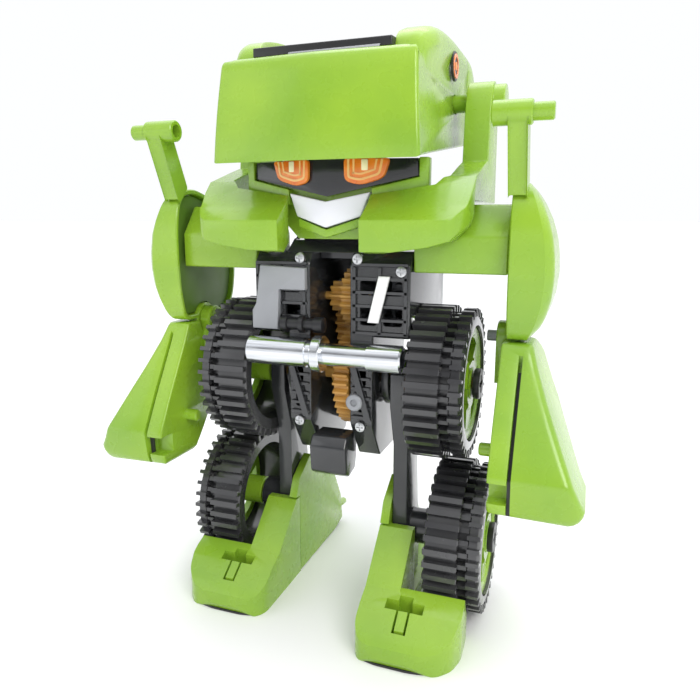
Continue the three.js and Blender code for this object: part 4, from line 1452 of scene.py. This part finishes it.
# ---------------------------------------------------------------- torso
@dataclass
class Torso:
    """The gearbox torso: clear smoky halves with ribs and screws, chest plate, cross tube and leads."""

    shell_x: Span = (5.8, 12.2)
    shoulder_x: float = 22.2
    wall: float = 1.5
    front: float = -16.6
    crank_axis: Point = (-4.0, 65.2)
    motor_axis: Point = (6.3, 90.8)
    motor_seat: float = 9.6
    motor_seat_start: float = 8.3
    tube_axis: Point = (-21.0, 74.0)
    tube_bore: float = 2.2
    axle_hole: float = 2.05
    windows: tuple[tuple[Span, Span], ...] = (
        ((8.6, 13.2), (81.6, 86.6)), ((15.0, 20.2), (81.6, 86.6)), ((8.6, 20.2), (89.6, 93.4)),
        ((8.0, 10.4), (57.5, 63.0)), ((8.0, 10.4), (65.0, 70.5)),
    )
    front_screws: tuple[Point, ...] = ((-8.2, 99.0), (-9.0, 53.6), (8.2, 99.0), (20.0, 96.0), (9.0, 53.6))
    tube_profile: tuple[Point, ...] = (
        (-21.8, 3.5), (-21.4, 3.9), (-4.6, 3.9), (-4.2, 3.5), (-2.7, 3.5), (-2.6, 4.6), (-2.3, 4.9),
        (-0.2, 4.9), (0.1, 4.6), (0.2, 3.0), (12.4, 3.0), (12.6, 3.6), (21.4, 3.6), (21.8, 3.2),
    )
    barrel_profile: tuple[Point, ...] = (
        (-13.6, 1.6), (-13.4, 2.2), (-11.6, 2.2), (-11.4, 1.7), (-8.2, 1.7), (-8.0, 2.4), (-6.8, 2.4),
        (-6.6, 1.6), (-4.0, 1.6), (-3.8, 2.1), (-1.2, 2.1), (-1.0, 1.7),
    )
    barrel_axis: Point = (-17.9, 81.2)
    cover_line: tuple[Point, ...] = (
        (12.2, 46), (13.8, 46), (13.8, 75.4), (19.4, 77.2), (19.4, 98.6), (15.2, 100.2), (-9, 100.2),
        (-9, 98.6), (14.6, 98.6), (17.8, 97.4), (17.8, 78.6), (12.2, 76.8),
    )
    boss_axis: Point = (7.6, 60.6)
    boss_profile: tuple[Point, ...] = ((-16.4, 2.3), (-18.6, 2.3), (-18.9, 2.0), (-18.9, 1.0), (-18.2, 0.9))
    lead_radius: float = 0.6
    red_route: tuple[tuple[float, float, float], ...] = (
        (-23.2, 10.6, 91.8), (-23.6, 13, 93.6), (-23.6, 16, 98), (-21, 18.8, 103.8), (-15, 19, 104.4),
        (-9.4, 16.6, 107), (-7.9, 14.6, 108.6),
    )
    black_route: tuple[tuple[float, float, float], ...] = (
        (-23.2, 2.6, 91.8), (-23.8, 6.4, 92.4), (-24, 10.2, 97), (-21.4, 12, 104.2), (-16, 13.6, 104.2),
        (-10, 14.2, 105), (-7.9, 13.8, 106.4),
    )
    lower: tuple[Point, ...] = ((-16.6, 54), (-9, 43), (11, 43), (15, 49), (15, 80), (-16.6, 80))
    upper: tuple[Point, ...] = ((-16.6, 78.5), (23.5, 74), (23.5, 95), (17, 101), (-13.6, 101), (-16.6, 97.5))

    def half(self, motor_side: bool) -> bpy.types.Object:
        """One hollow gearbox half with windows, drawn on the left.

        Args:
            motor_side: Whether this half holds the motor.

        Returns:
            The half.
        """
        x0, x1 = self.shell_x
        far, wall = self.shoulder_x, self.wall
        lower, upper = rounded(self.lower, 0.8), rounded(self.upper, 0.8)
        half = pad("housing", lower, (x0, x1), Plane.SIDE, 0.35)
        carve(half, [pad("shoulder", upper, (x0, far), Plane.SIDE, 0.45)], "UNION")
        rooms = [
            pad("room", inset(lower, wall), (x0 + wall, x1 - wall), Plane.SIDE, 0.3),
            pad("room", inset(upper, wall), (x0 + wall, far - wall), Plane.SIDE, 0.3),
            turned("axle_hole", [(x0 - 1, self.axle_hole), (x1 + 1, self.axle_hole)], self.crank_axis, 32),
        ]
        front = (self.front - 2, self.front + wall + 0.6)
        for window in self.windows:
            rooms.append(pad("window", rounded(rectangle(*window), 0.8), front, Plane.FRONT, SHARP, 1))
        if motor_side:
            seat = [(self.motor_seat_start, self.motor_seat), (far + 1, self.motor_seat)]
            rooms.append(turned("motor_seat", seat, self.motor_axis, 56))
        return carve(half, rooms)

    def housings(self) -> None:
        """Both halves, with ribs on their outsides."""
        for side in Side:
            half = on_side(self.half(side is Side.RIGHT), side, f"housing_{side.label}")
            dress(half, SMOKE, "torso", [f"gearbox_shell_{side.label}"], 30)
            self.ribs(side)

    def gear_cover(self) -> None:
        """The dark cover behind the gears, and the neck block over them."""
        cover = pad("gear_cover", self.cover_line, (-5.7, 5.7), Plane.SIDE, 0.2)
        neck_line = rounded([(-14.5, 100.4), (-10, 103.6), (-8, 103.6), (-8, 100.4)], 0.5)
        neck = pad("neck_block", neck_line, (-13, 14), Plane.SIDE, 0.4)
        dress(merge("gear_cover", [cover, neck]), SMOKE_SOLID, "torso")

    def ribs(self, side: Side) -> None:
        """Dark ribs and posts on the front and the back of one half, and its diagonal brace.

        Args:
            side: The half's side.
        """
        s = side.value
        (x0, x1), far = self.shell_x, self.shoulder_x
        span = tuple(sorted((s * (x0 + 0.6), s * (far - 0.5))))
        narrow = tuple(sorted((s * (x0 + 0.4), s * (x1 - 0.4))))
        across = pad("rib", rectangle((-0.8, 0.4), (-0.35, 0.35)), span, Plane.SIDE, 0.2, 1)
        rows = [ROWS.run("front_ribs", across, SMOKE_SOLID, Count=6, Start=Vector((0, self.front, 79.6)) * MM,
                         Step=Vector((0, 0, 3.6)) * MM)]
        across = pad("rib", rectangle((-0.4, 0.8), (-0.4, 0.4)), span, Plane.SIDE, 0.2, 1)
        rows.append(ROWS.run("back_ribs", across, SMOKE_SOLID, Count=8, Start=Vector((0, 23.5, 76)) * MM,
                             Step=Vector((0, 0, 2.6)) * MM))
        upright = pad("rib", rectangle((-0.4, 0.4), (-0.8, 0.4)), (79.2, 97), Plane.TOP, 0.2, 1)
        rows.append(ROWS.run("front_posts", upright, SMOKE_SOLID, Count=3,
                             Start=Vector((s * 7.2, self.front, 0)) * MM, Step=Vector((s * 7.0, 0, 0)) * MM))
        low = pad("rib", rectangle((-0.8, 0.4), (-0.35, 0.35)), narrow, Plane.SIDE, 0.2, 1)
        rows.append(ROWS.run("low_ribs", low, SMOKE_SOLID, Count=7, Start=Vector((0, self.front, 56.2)) * MM,
                             Step=Vector((0, 0, 2.7)) * MM))
        tall = pad("rib", rectangle((-0.35, 0.35), (-0.4, 0.8)), (50, 72), Plane.TOP, 0.2, 1)
        rows.append(ROWS.run("rear_posts", tall, SMOKE_SOLID, Count=2,
                             Start=Vector((s * 7.0, 15, 0)) * MM, Step=Vector((s * 4.0, 0, 0)) * MM))
        edge = [(s * 6.4, 70.5), (s * 7.6, 70.5), (s * 12.0, 55.5), (s * 10.8, 55.5)]
        if side is Side.RIGHT:
            edge = [(s * 12.0, 70.5), (s * 10.8, 70.5), (s * 6.2, 55.5), (s * 7.4, 55.5)]
        rows.append(pad("brace", edge, (self.front - 1.5, self.front + 0.3), Plane.FRONT, 0.25, 2))
        dress(merge(f"housing_ribs_{side.label}", rows), SMOKE_SOLID, "torso")

    def screws(self) -> None:
        """Screw heads on the front, back and outer faces of the halves."""
        ahead, behind = Vector((0, -1, 0)), Vector((0, 1, 0))
        places = [(Vector((x, self.front - 0.4, z)), ahead) for x, z in self.front_screws]
        for s in (-1, 1):
            outward = Vector((s, 0, 0))
            places += [(Vector((s * x, 23.6, z)), behind) for x, z in ((8.4, 79), (19.6, 79), (14, 93))]
            places += [(Vector((s * self.shoulder_x, y, z)), outward) for y, z in ((-13, 83), (20, 80))]
        heads = SPOTS.run("housing_screws", screw_head(), SCREW_METAL, places, Size=1.0)
        dress(heads, SCREW_METAL, "torso")

    def front_pieces(self) -> None:
        """Chest plate, cross tube, idler barrel, a pale strip that paints the highlight along the clear
        housing's edge, boss and guard.
        """
        mould("chest_plate", GREY, "torso", 0.3)
        mould("crotch_guard", SMOKE_SOLID, "torso", 0.7)
        tube = turned("cross_tube", self.tube_profile, self.tube_axis, 48)
        carve(tube, [turned("bore", [(-23, self.tube_bore), (23, self.tube_bore)], self.tube_axis, 32)])
        dress(tube, TUBE_METAL, "torso", ["hip_cross_tube"])
        lugs = [
            pad("lug", rectangle(x, (71.6, 76.4)), (-17.8, self.front + 0.2), Plane.FRONT, 0.3)
            for x in ((-12, -8), (14, 18))
        ]
        dress(merge("tube_lugs", lugs), SMOKE_SOLID, "torso")
        barrel = turned("idler_barrel", self.barrel_profile, self.barrel_axis, 32)
        dress(barrel, BLACK, "torso")
        # A white strip that paints the highlight on the edge of the clear housing; it is not a part of its
        # own.
        strip = [(11.2, 82.6), (14.2, 82.6), (17.2, 94.8), (14.2, 94.8)]
        highlight_strip_y = (self.front - 1.9, self.front - 0.9)
        dress(pad("gear_strip", strip, highlight_strip_y, Plane.FRONT, 0.25), NYLON, "torso")
        rings = [[Vector((x, y, z)) for x, z in circle(self.boss_axis, r, 32)] for y, r in self.boss_profile]
        dress(loft("bearing_boss", rings), GREY, "torso")

    def inside(self) -> None:
        """Motor, neck bracket, terminal block and the two leads."""
        mould("motor_can", CAN_METAL, "torso", 0.5)
        mould("motor_end_cap", BLACK, "torso", 0.3)
        mould("neck_bracket", BLACK, "torso", 0.5)
        mould("terminal_block", BLACK, "torso", 0.25)
        routes = (("red", self.red_route, RED_LEAD), ("black", self.black_route, BLACK_LEAD))
        for name, route, finish in routes:
            lead = swept(f"{name}_lead", [Vector(p) for p in route], self.lead_radius)
            dress(lead, finish, "torso", [f"{name}_wire"], 60)

    def build(self) -> None:
        """Makes the torso."""
        self.housings()
        self.gear_cover()
        self.screws()
        self.front_pieces()
        self.inside()
        for side in Side:
            mould(f"shoulder_beam_{side.label}", LIME, "torso", 0.6)


@dataclass
class GearTrain:
    """The amber gears, the pinion and the crank discs."""

    tooth_round: float = 0.12

    def build(self) -> None:
        """Makes the gear train."""
        for node, body in (("first_gear", "first_gear_shaft"), ("second_gear", "second_gear_shaft"),
                           ("crank_gear", "crank")):
            mould(node, AMBER, body, self.tooth_round)
        mould("motor_pinion", NYLON, "motor_shaft", self.tooth_round)
        for side in Side:
            mould(f"crank_disc_{side.label}", SMOKE_SOLID, "crank", 0.35)


# ---------------------------------------------------------------- wheels
@dataclass
class Wheels:
    """Four wheels: a barred tread with a holed groove and a comb row, on a windowed hub."""

    bars: int = 38
    tip: float = 21.2
    floor: float = 19.3
    comb_tip: float = 20.5
    groove: float = 17.2
    bore: float = 15.9
    row_share: float = 0.62
    comb_share: float = 0.76
    bar_width: float = 1.5
    hub_radius: float = 15.6
    hub_thickness: float = 2.6
    hub_inset: float = 0.8
    sleeve: float = 4.4
    axle_hole: float = 2.1

    def tread(self, name: str, span: Span, centre: Point) -> bpy.types.Object:
        """One tread, drawn on the left.

        Args:
            name: The object's name.
            span: Its inner and outer face along X.
            centre: Its axle's Y and Z.

        Returns:
            The tread.
        """
        x0, x1 = span
        width = x1 - x0
        row, comb = x0 + self.row_share * width, x0 + self.comb_share * width
        profile = [
            (x0, self.bore), (x0, self.floor - 0.4), (x0 + 0.4, self.floor), (row - 0.5, self.floor),
            (row - 0.3, self.groove), (comb + 0.3, self.groove), (comb + 0.5, self.floor),
            (x1 - 0.9, self.floor), (x1 - 0.3, self.floor - 0.8), (x1, self.floor - 1.8), (x1, self.bore),
        ]
        body = revolved(f"{name}_body", profile, centre, 76)
        place = Vector((0, *centre)) * MM
        half = self.bar_width / 2
        rows = (
            ("bars", (x0 - 0.05, row), (self.floor - 0.4, self.tip), half, 0.0),
            ("bridges", (row - 0.4, comb + 0.4), (self.groove - 0.2, self.floor), half * 0.8, 0.0),
            ("comb", (comb, x1), (self.floor - 1.0, self.comb_tip), half * 0.72, math.pi / self.bars),
        )
        parts = [body]
        for part, x, radii, reach, phase in rows:
            shape = pad(part, rectangle(radii, (-reach, reach)), x, Plane.SIDE, 0.22, 1)
            parts.append(
                RINGS.run(part, shape, TREAD, Count=self.bars, Radius=0.0, Centre=place, Phase=phase)
            )
        return merge(name, parts)

    def hub(self, name: str, span: Span, centre: Point) -> bpy.types.Object:
        """One hub with three windows round a sleeve, drawn on the left.

        Args:
            name: The object's name.
            span: Its inner and outer face along X.
            centre: Its axle's Y and Z.

        Returns:
            The hub.
        """
        x0, x1 = span
        face, wide, tube = x1 - self.hub_inset, self.hub_radius, self.sleeve
        disc_low = face - self.hub_thickness
        profile = [(disc_low, wide - 0.4), (disc_low + 0.3, wide), (face - 0.3, wide), (face, wide - 0.3),
                   (face, 13.4), (face - 0.5, 12.9), (face - 0.5, 7.6), (face, 7.0)]
        disc = turned(name, profile, centre, 64)
        y, z = centre
        windows = []
        for angle in (90, 210, 330):
            edge = arc((y, z), wide - 3, angle - 42, angle + 42, 12)
            edge += arc((y, z), tube + 1.8, angle + 26, angle - 26, 5)
            windows.append(pad("window", edge, (disc_low - 1, face + 1), Plane.SIDE, SHARP, 1))
        carve(disc, windows)
        collar = [(x0 + 0.6, tube - 0.3), (x0 + 0.9, tube), (face + 0.2, tube), (face + 0.4, tube - 0.2)]
        carve(disc, [turned("collar", collar, centre, 40)], "UNION")
        return carve(disc, [turned("hole", [(x0 - 1, self.axle_hole), (x1 + 2, self.axle_hole)], centre, 32)])

    def wheel(self, kind: str, side: Side, body: str) -> None:
        """Makes one wheel.

        Args:
            kind: The word that starts its node names, thigh or shin.
            side: Its side.
            body: The body that it rides on.
        """
        low, high = (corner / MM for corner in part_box(f"{kind}_tyre_{side.label}"))
        span = tuple(sorted((abs(low.x), abs(high.x))))
        centre = ((low.y + high.y) / 2, (low.z + high.z) / 2)
        for part, make, finish, slot, node in (
            ("tread", self.tread, TREAD, "smoke_tread", "tyre"), ("hub", self.hub, LIME, "lime_shell", "hub")
        ):
            name = f"{kind}_{part}_{side.label}"
            piece = on_side(make(f"{name}_drawn", span, centre), side, name)
            dress(piece, finish, body, [f"{kind}_{node}_{side.label}"], 28)

    def build(self) -> None:
        """Makes the wheels and their caps."""
        for side in Side:
            self.wheel("thigh", side, "crank")
            self.wheel("shin", side, f"shin_wheel_{side.label}")
            mould(f"thigh_axle_cap_{side.label}", BLACK, "crank", 0.3)
            mould(f"shin_axle_{side.label}", BLACK, f"leg_{side.label}", 0.3)


# ---------------------------------------------------------------- legs
@dataclass
class Legs:
    """Leg plates, feet with their cross sockets, and heel shields."""

    stride: float = 3.5
    foot_round: float = 1.3
    plan_round: float = 1.6
    pad_inset: float = 0.35
    shield_round: float = 0.5
    boot_x: Span = (14.5, 24.0)
    socket_x: float = 26.2
    socket_z: Span = (5.5, 18.0)
    toe_side: tuple[Point, ...] = (
        (-36.6, 0.0), (-17.4, 0.0), (-17.4, 5.0), (-17.9, 6.4), (-21.2, 10.0), (-23.4, 14.0), (-29.4, 11.2),
        (-35.2, 7.2), (-37.2, 5.2), (-37.8, 2.2),
    )
    toe_plan: tuple[Point, ...] = (
        (14.5, -17.4), (14.5, -33.5), (16.2, -36.6), (21.0, -37.7), (30.0, -37.7), (36.5, -36.4),
        (39.6, -33.0), (41.0, -28.0), (40.6, -17.4),
    )
    boot_side: tuple[Point, ...] = (
        (-29.0, 0.0), (-10.0, 0.0), (-10.0, 25.0), (-12.3, 25.0), (-24.5, 13.6), (-28.6, 9.0),
    )
    sole_plan: tuple[Point, ...] = ((17.2, -11.0), (24.0, -11.0), (24.0, 8.0), (21.0, 25.0), (17.2, 27.0))

    def foot(self) -> bpy.types.Object:
        """The left foot: a broad toe, a sloping boot, a narrow sole and the cross socket.

        Returns:
            The foot.
        """
        foot = pad("foot_drawn", self.toe_side, (12, 43), Plane.SIDE, SHARP, 1)
        plan = rounded(self.toe_plan, self.plan_round)
        carve(foot, [pad("plan", plan, (-1, 16), Plane.TOP, SHARP, 1)], "INTERSECT")
        boot = pad("boot", self.boot_side, self.boot_x, Plane.SIDE, SHARP, 1)
        carve(foot, [boot], "UNION")
        soften(foot, self.foot_round, 4, 26)
        carve(foot, [pad("sole", self.sole_plan, (0, 4), Plane.TOP, 0.4)], "UNION")
        cuts = (
            ((-1.8, 1.8), (-29, -25.4)), ((-5, 5), (-29.4, -26.8)), ((-1.8, -1.2), (-34.2, -28.9)),
            ((1.2, 1.8), (-34.2, -28.9)), ((-1.8, 1.8), (-34.2, -33.6)),
        )
        mid = self.socket_x
        return carve(foot, [block("socket", (mid + a, mid + b), y, self.socket_z) for (a, b), y in cuts])

    def sole_pad(self) -> bpy.types.Object:
        """The thin dark pad under the left toe, set in a little from its edge: painted shade for the contact
        shadow along the sole.
        """
        plan = inset(rounded(self.toe_plan, self.plan_round), self.pad_inset)
        return pad("sole_drawn", plan, (0.0, 0.55), Plane.TOP, 0.1, 1)

    def build(self) -> None:
        """Makes both legs."""
        for side in Side:
            body = f"leg_{side.label}"
            mould(f"leg_plate_{side.label}", SMOKE_SOLID, body, 0.5)
            mould(f"heel_shield_{side.label}", LIME, body, self.shield_round)
            drawn = (
                ("foot_shape", self.foot, LIME, "lime_shell", [f"foot_{side.label}"]),
                # A dark pad that paints the contact shadow under the toe.
                ("sole_pad", self.sole_pad, BLACK, "black_plastic", []),
            )
            for part, make, finish, slot, replaced in drawn:
                piece = make()
                piece.data.transform(Matrix.Translation((0, -side.value * self.stride * MM, 0)))
                piece = on_side(piece, side, f"{part}_{side.label}")
                dress(piece, finish, body, replaced, 30)


# ---------------------------------------------------------------- arms
@dataclass
class Arms:
    """Domed upper arms with T-bar handles, and flared forearms with a slit."""

    inner: float = 46.5
    shoulder: Point = (-4.0, 103.0)
    elbow: Point = (-4.0, 78.8)
    peg_hole: float = 3.7
    pin_hole: float = 1.75
    knuckle: float = 5.0
    boss: float = 5.4
    rim: float = 1.3
    recess: float = 2.0
    upper_outline: tuple[Point, ...] = (
        (8, 79.5), (12.4, 84), (14.4, 93), (13, 102), (8, 110.5), (0, 116), (-8, 118), (-13, 117.3),
        (-16.5, 114), (-18, 107), (-18.3, 98), (-17.6, 88), (-15.5, 79.5),
    )
    outline_round: float = 3.2
    dome_steps: int = 14
    flare: tuple[Point, ...] = (
        (38.6, 66.2), (40, 67.2), (42.5, 67.9), (48, 65.4), (57, 61.4), (66, 57.5), (73, 54.8), (78.9, 53),
    )
    front_edge: tuple[Point, ...] = (
        (38.6, -30.2), (41, -30.9), (49.5, -32), (60, -26.2), (74, -17.9), (77, -16.4), (78.9, -15.5),
    )
    back_edge: tuple[Point, ...] = (
        (38.6, -14.5), (43, -11.6), (48, -8), (55, -1.6), (62, 5), (68, 7.4), (73.6, 8.5), (76, 4.4),
        (78.9, -3),
    )
    levels: tuple[float, ...] = (
        38.6, 38.9, 39.5, 41, 43, 46, 49.2, 50.2, 54, 58, 62, 66, 70, 73.6, 76, 78, 78.7, 78.9,
    )
    bulge: tuple[Point, ...] = (
        (79.5, 6.0), (83, 8.0), (86, 9.2), (90, 10.2), (95, 10.7), (100, 10.5), (105, 9.8), (109, 8.6),
        (113, 7.0), (116, 5.4), (118, 4.2),
    )

    def upper_arm(self) -> bpy.types.Object:
        """The left upper arm's shell: a dome with a recessed inner face and two bosses.

        Returns:
            The shell.
        """
        outline = rounded(self.upper_outline, self.outline_round, 4)
        cy = sum(y for y, _ in outline) / len(outline)
        cz = sum(z for _, z in outline) / len(outline)
        hollow = inset(outline, self.rim)
        deep, small = self.inner + self.recess, 0.02
        rings = [
            [Vector((deep, cy + (y - cy) * small, cz + (z - cz) * small)) for y, z in hollow],
            [Vector((deep, y, z)) for y, z in inset(outline, self.rim + 0.3)],
            [Vector((self.inner + 0.25, y, z)) for y, z in hollow],
            [Vector((self.inner, y, z)) for y, z in inset(outline, self.rim - 0.25)],
            [Vector((self.inner, y, z)) for y, z in inset(outline, 0.3)],
            [Vector((self.inner + 0.3, y, z)) for y, z in outline],
        ]
        for k in range(self.dome_steps + 1):
            shrink = 1 - 0.97 * (k / self.dome_steps) ** 1.8
            reach = min(1.0, (1 - shrink) / 0.2)
            swell = 0.8 + 0.2 * math.sin(reach * math.pi / 2)
            ring = []
            for y, z in outline:
                p, q = cy + (y - cy) * shrink, cz + (z - cz) * shrink
                ring.append(Vector((self.inner + between(self.bulge, q) * swell, p, q)))
            rings.append(ring)
        arm = loft("upper_arm_drawn", rings)
        x, wide, peg, pin = self.inner, self.knuckle, self.peg_hole, self.pin_hole
        bosses = [
            turned("boss", [(x + 0.2, self.boss), (x + 3.4, self.boss)], self.shoulder, 40),
            turned("knuckle", [(x, wide - 0.3), (x + 0.3, wide), (x + 3.1, wide)], self.elbow, 40),
        ]
        carve(arm, bosses, "UNION")
        holes = [
            turned("hole", [(x - 1, peg), (x + 2.8, peg)], self.shoulder, 40),
            turned("hole", [(x - 1, pin), (x + 3.3, pin)], self.elbow, 32),
        ]
        return carve(arm, holes)

    def liner(self) -> bpy.types.Object:
        """The dark plate set into the upper arm's inner face, round its bosses. It is painted shade: its
        darker lime stands for the shadow in the arm's hollow.

        Returns:
            The plate.
        """
        outline = inset(rounded(self.upper_outline, self.outline_round, 4), self.rim + 0.5)
        plate = pad("liner_drawn", outline, (self.inner + 1.1, self.inner + 1.9), Plane.SIDE, 0.2)
        low, high = self.inner - 1, self.inner + 4
        holes = [
            turned("hole", [(low, radius), (high, radius)], axis, 40)
            for radius, axis in ((self.boss + 0.3, self.shoulder), (self.knuckle + 0.4, self.elbow))
        ]
        return carve(plate, holes)

    def forearm(self) -> bpy.types.Object:
        """The left forearm: flared walls, a long slit, a notch and the elbow lug.

        Returns:
            The forearm.
        """
        rings = []
        for z in self.levels:
            reach = (between(self.front_edge, z), between(self.back_edge, z))
            corners = rectangle((45.4, between(self.flare, z)), reach)
            amount = {38.6: 0.9, 38.9: 0.35, 78.7: 0.2, 78.9: 0.6}.get(z, 0.0)
            ring = inset(rounded(corners, (0.8, 2.2, 2.2, 0.8), 5), amount)
            sag = 1.6 * (1 - ease(z, 38.6, 46))
            rings.append([Vector((x, y, z + sag * ((x - 56) / 11) ** 2)) for x, y in ring])
        arm = loft("forearm_drawn", rings)
        y, z = self.elbow
        slit = [(-18.6, 80), (-15, 73), (-29, 48.6), (-28, 36), (-40, 36), (-40, 80)]
        carve(arm, [turned("clearance", [(44, 5.4), (49.9, 5.4)], self.elbow, 40)])
        neck = block("neck", (43.2, 46.2), (y - 4, y + 4), (z - 12, z))
        lug = turned("lug", [(43.2, 3.9), (43.5, 4.2), (46.2, 4.2)], self.elbow, 40)
        peg = turned("peg", [(41.5, 1.3), (41.9, 1.7), (46.4, 1.7)], (-18.5, 51.9), 24)
        carve(arm, [neck, lug, peg], "UNION")
        cuts = [
            pad("slit", slit, (50, 51), Plane.SIDE, SHARP, 1),
            block("notch", (44, 50.5), (-40, -26.5), (43.0, 48.4)),
            turned("hole", [(40, self.pin_hole), (46.4, self.pin_hole)], self.elbow, 32),
        ]
        return soften(carve(arm, cuts), 0.3, 2, 45)

    def slit_strip(self) -> bpy.types.Object:
        """The dark strip at the bottom of the left forearm's slit."""
        strip = [(-15.4, 71.6), (-15.9, 71.9), (-29.6, 48.5), (-28.9, 39.6), (-28.2, 39.6), (-28.7, 48.3)]
        return pad("strip_drawn", strip, (49.95, 51.05), Plane.SIDE, 0.05, 1)

    def handle(self) -> bpy.types.Object:
        """The left T-bar on its leaning stem.

        Returns:
            The handle.
        """
        bar = (-22.0, 132.4)
        profile = [(41.9, 2.5), (42.2, 2.8), (50.6, 2.8), (50.9, 2.5), (50.95, 2.0), (55.2, 2.0), (55.5, 1.7)]
        stem = rounded([(-24.2, 131.5), (-20, 133), (-13.2, 118), (-16.9, 114.5)], (0.8, 0.8, 0.4, 0.4))
        piece = turned("handle_drawn", profile, bar, 40)
        carve(piece, [pad("stem", stem, (45.6, 50), Plane.SIDE, 0.6)], "UNION")
        return carve(piece, [turned("socket", [(41, 1.7), (45, 1.7)], bar, 32)])

    def build(self) -> None:
        """Makes both arms."""
        drawn = (
            ("upper_arm", self.upper_arm, LIME, "upper_arm", ["upper_arm"]),
            # The arm's dark plate paints the shade inside its hollow.
            ("arm_liner", self.liner, LIME_PAINTED_SHADE, "upper_arm", []),
            ("handle", self.handle, LIME, "upper_arm", ["handle"]),
            ("forearm", self.forearm, LIME, "forearm", ["forearm"]),
            ("slit_strip", self.slit_strip, BLACK, "forearm", []),
        )
        for part, make, finish, body, nodes in drawn:
            left = make()
            right = mirrored(left, f"{part}_right_shape")
            left.name = f"{part}_left_shape"
            for side, piece in ((Side.LEFT, left), (Side.RIGHT, right)):
                replaced = [f"{node}_{side.label}" for node in nodes]
                dress(piece, finish, f"{body}_{side.label}", replaced, 30)
        for side in Side:
            mould(f"elbow_pin_{side.label}", GREY, f"upper_arm_{side.label}", 0.25)


def main() -> None:
    """Builds every sub-assembly in order."""
    logging.basicConfig(level=logging.INFO, format="%(name)s: %(message)s")
    for assembly in (Studio(), Head(), Face(), Torso(), GearTrain(), Wheels(), Legs(), Arms()):
        log.info("building %s", type(assembly).__name__)
        assembly.build()


if __name__ == "__main__":
    main()
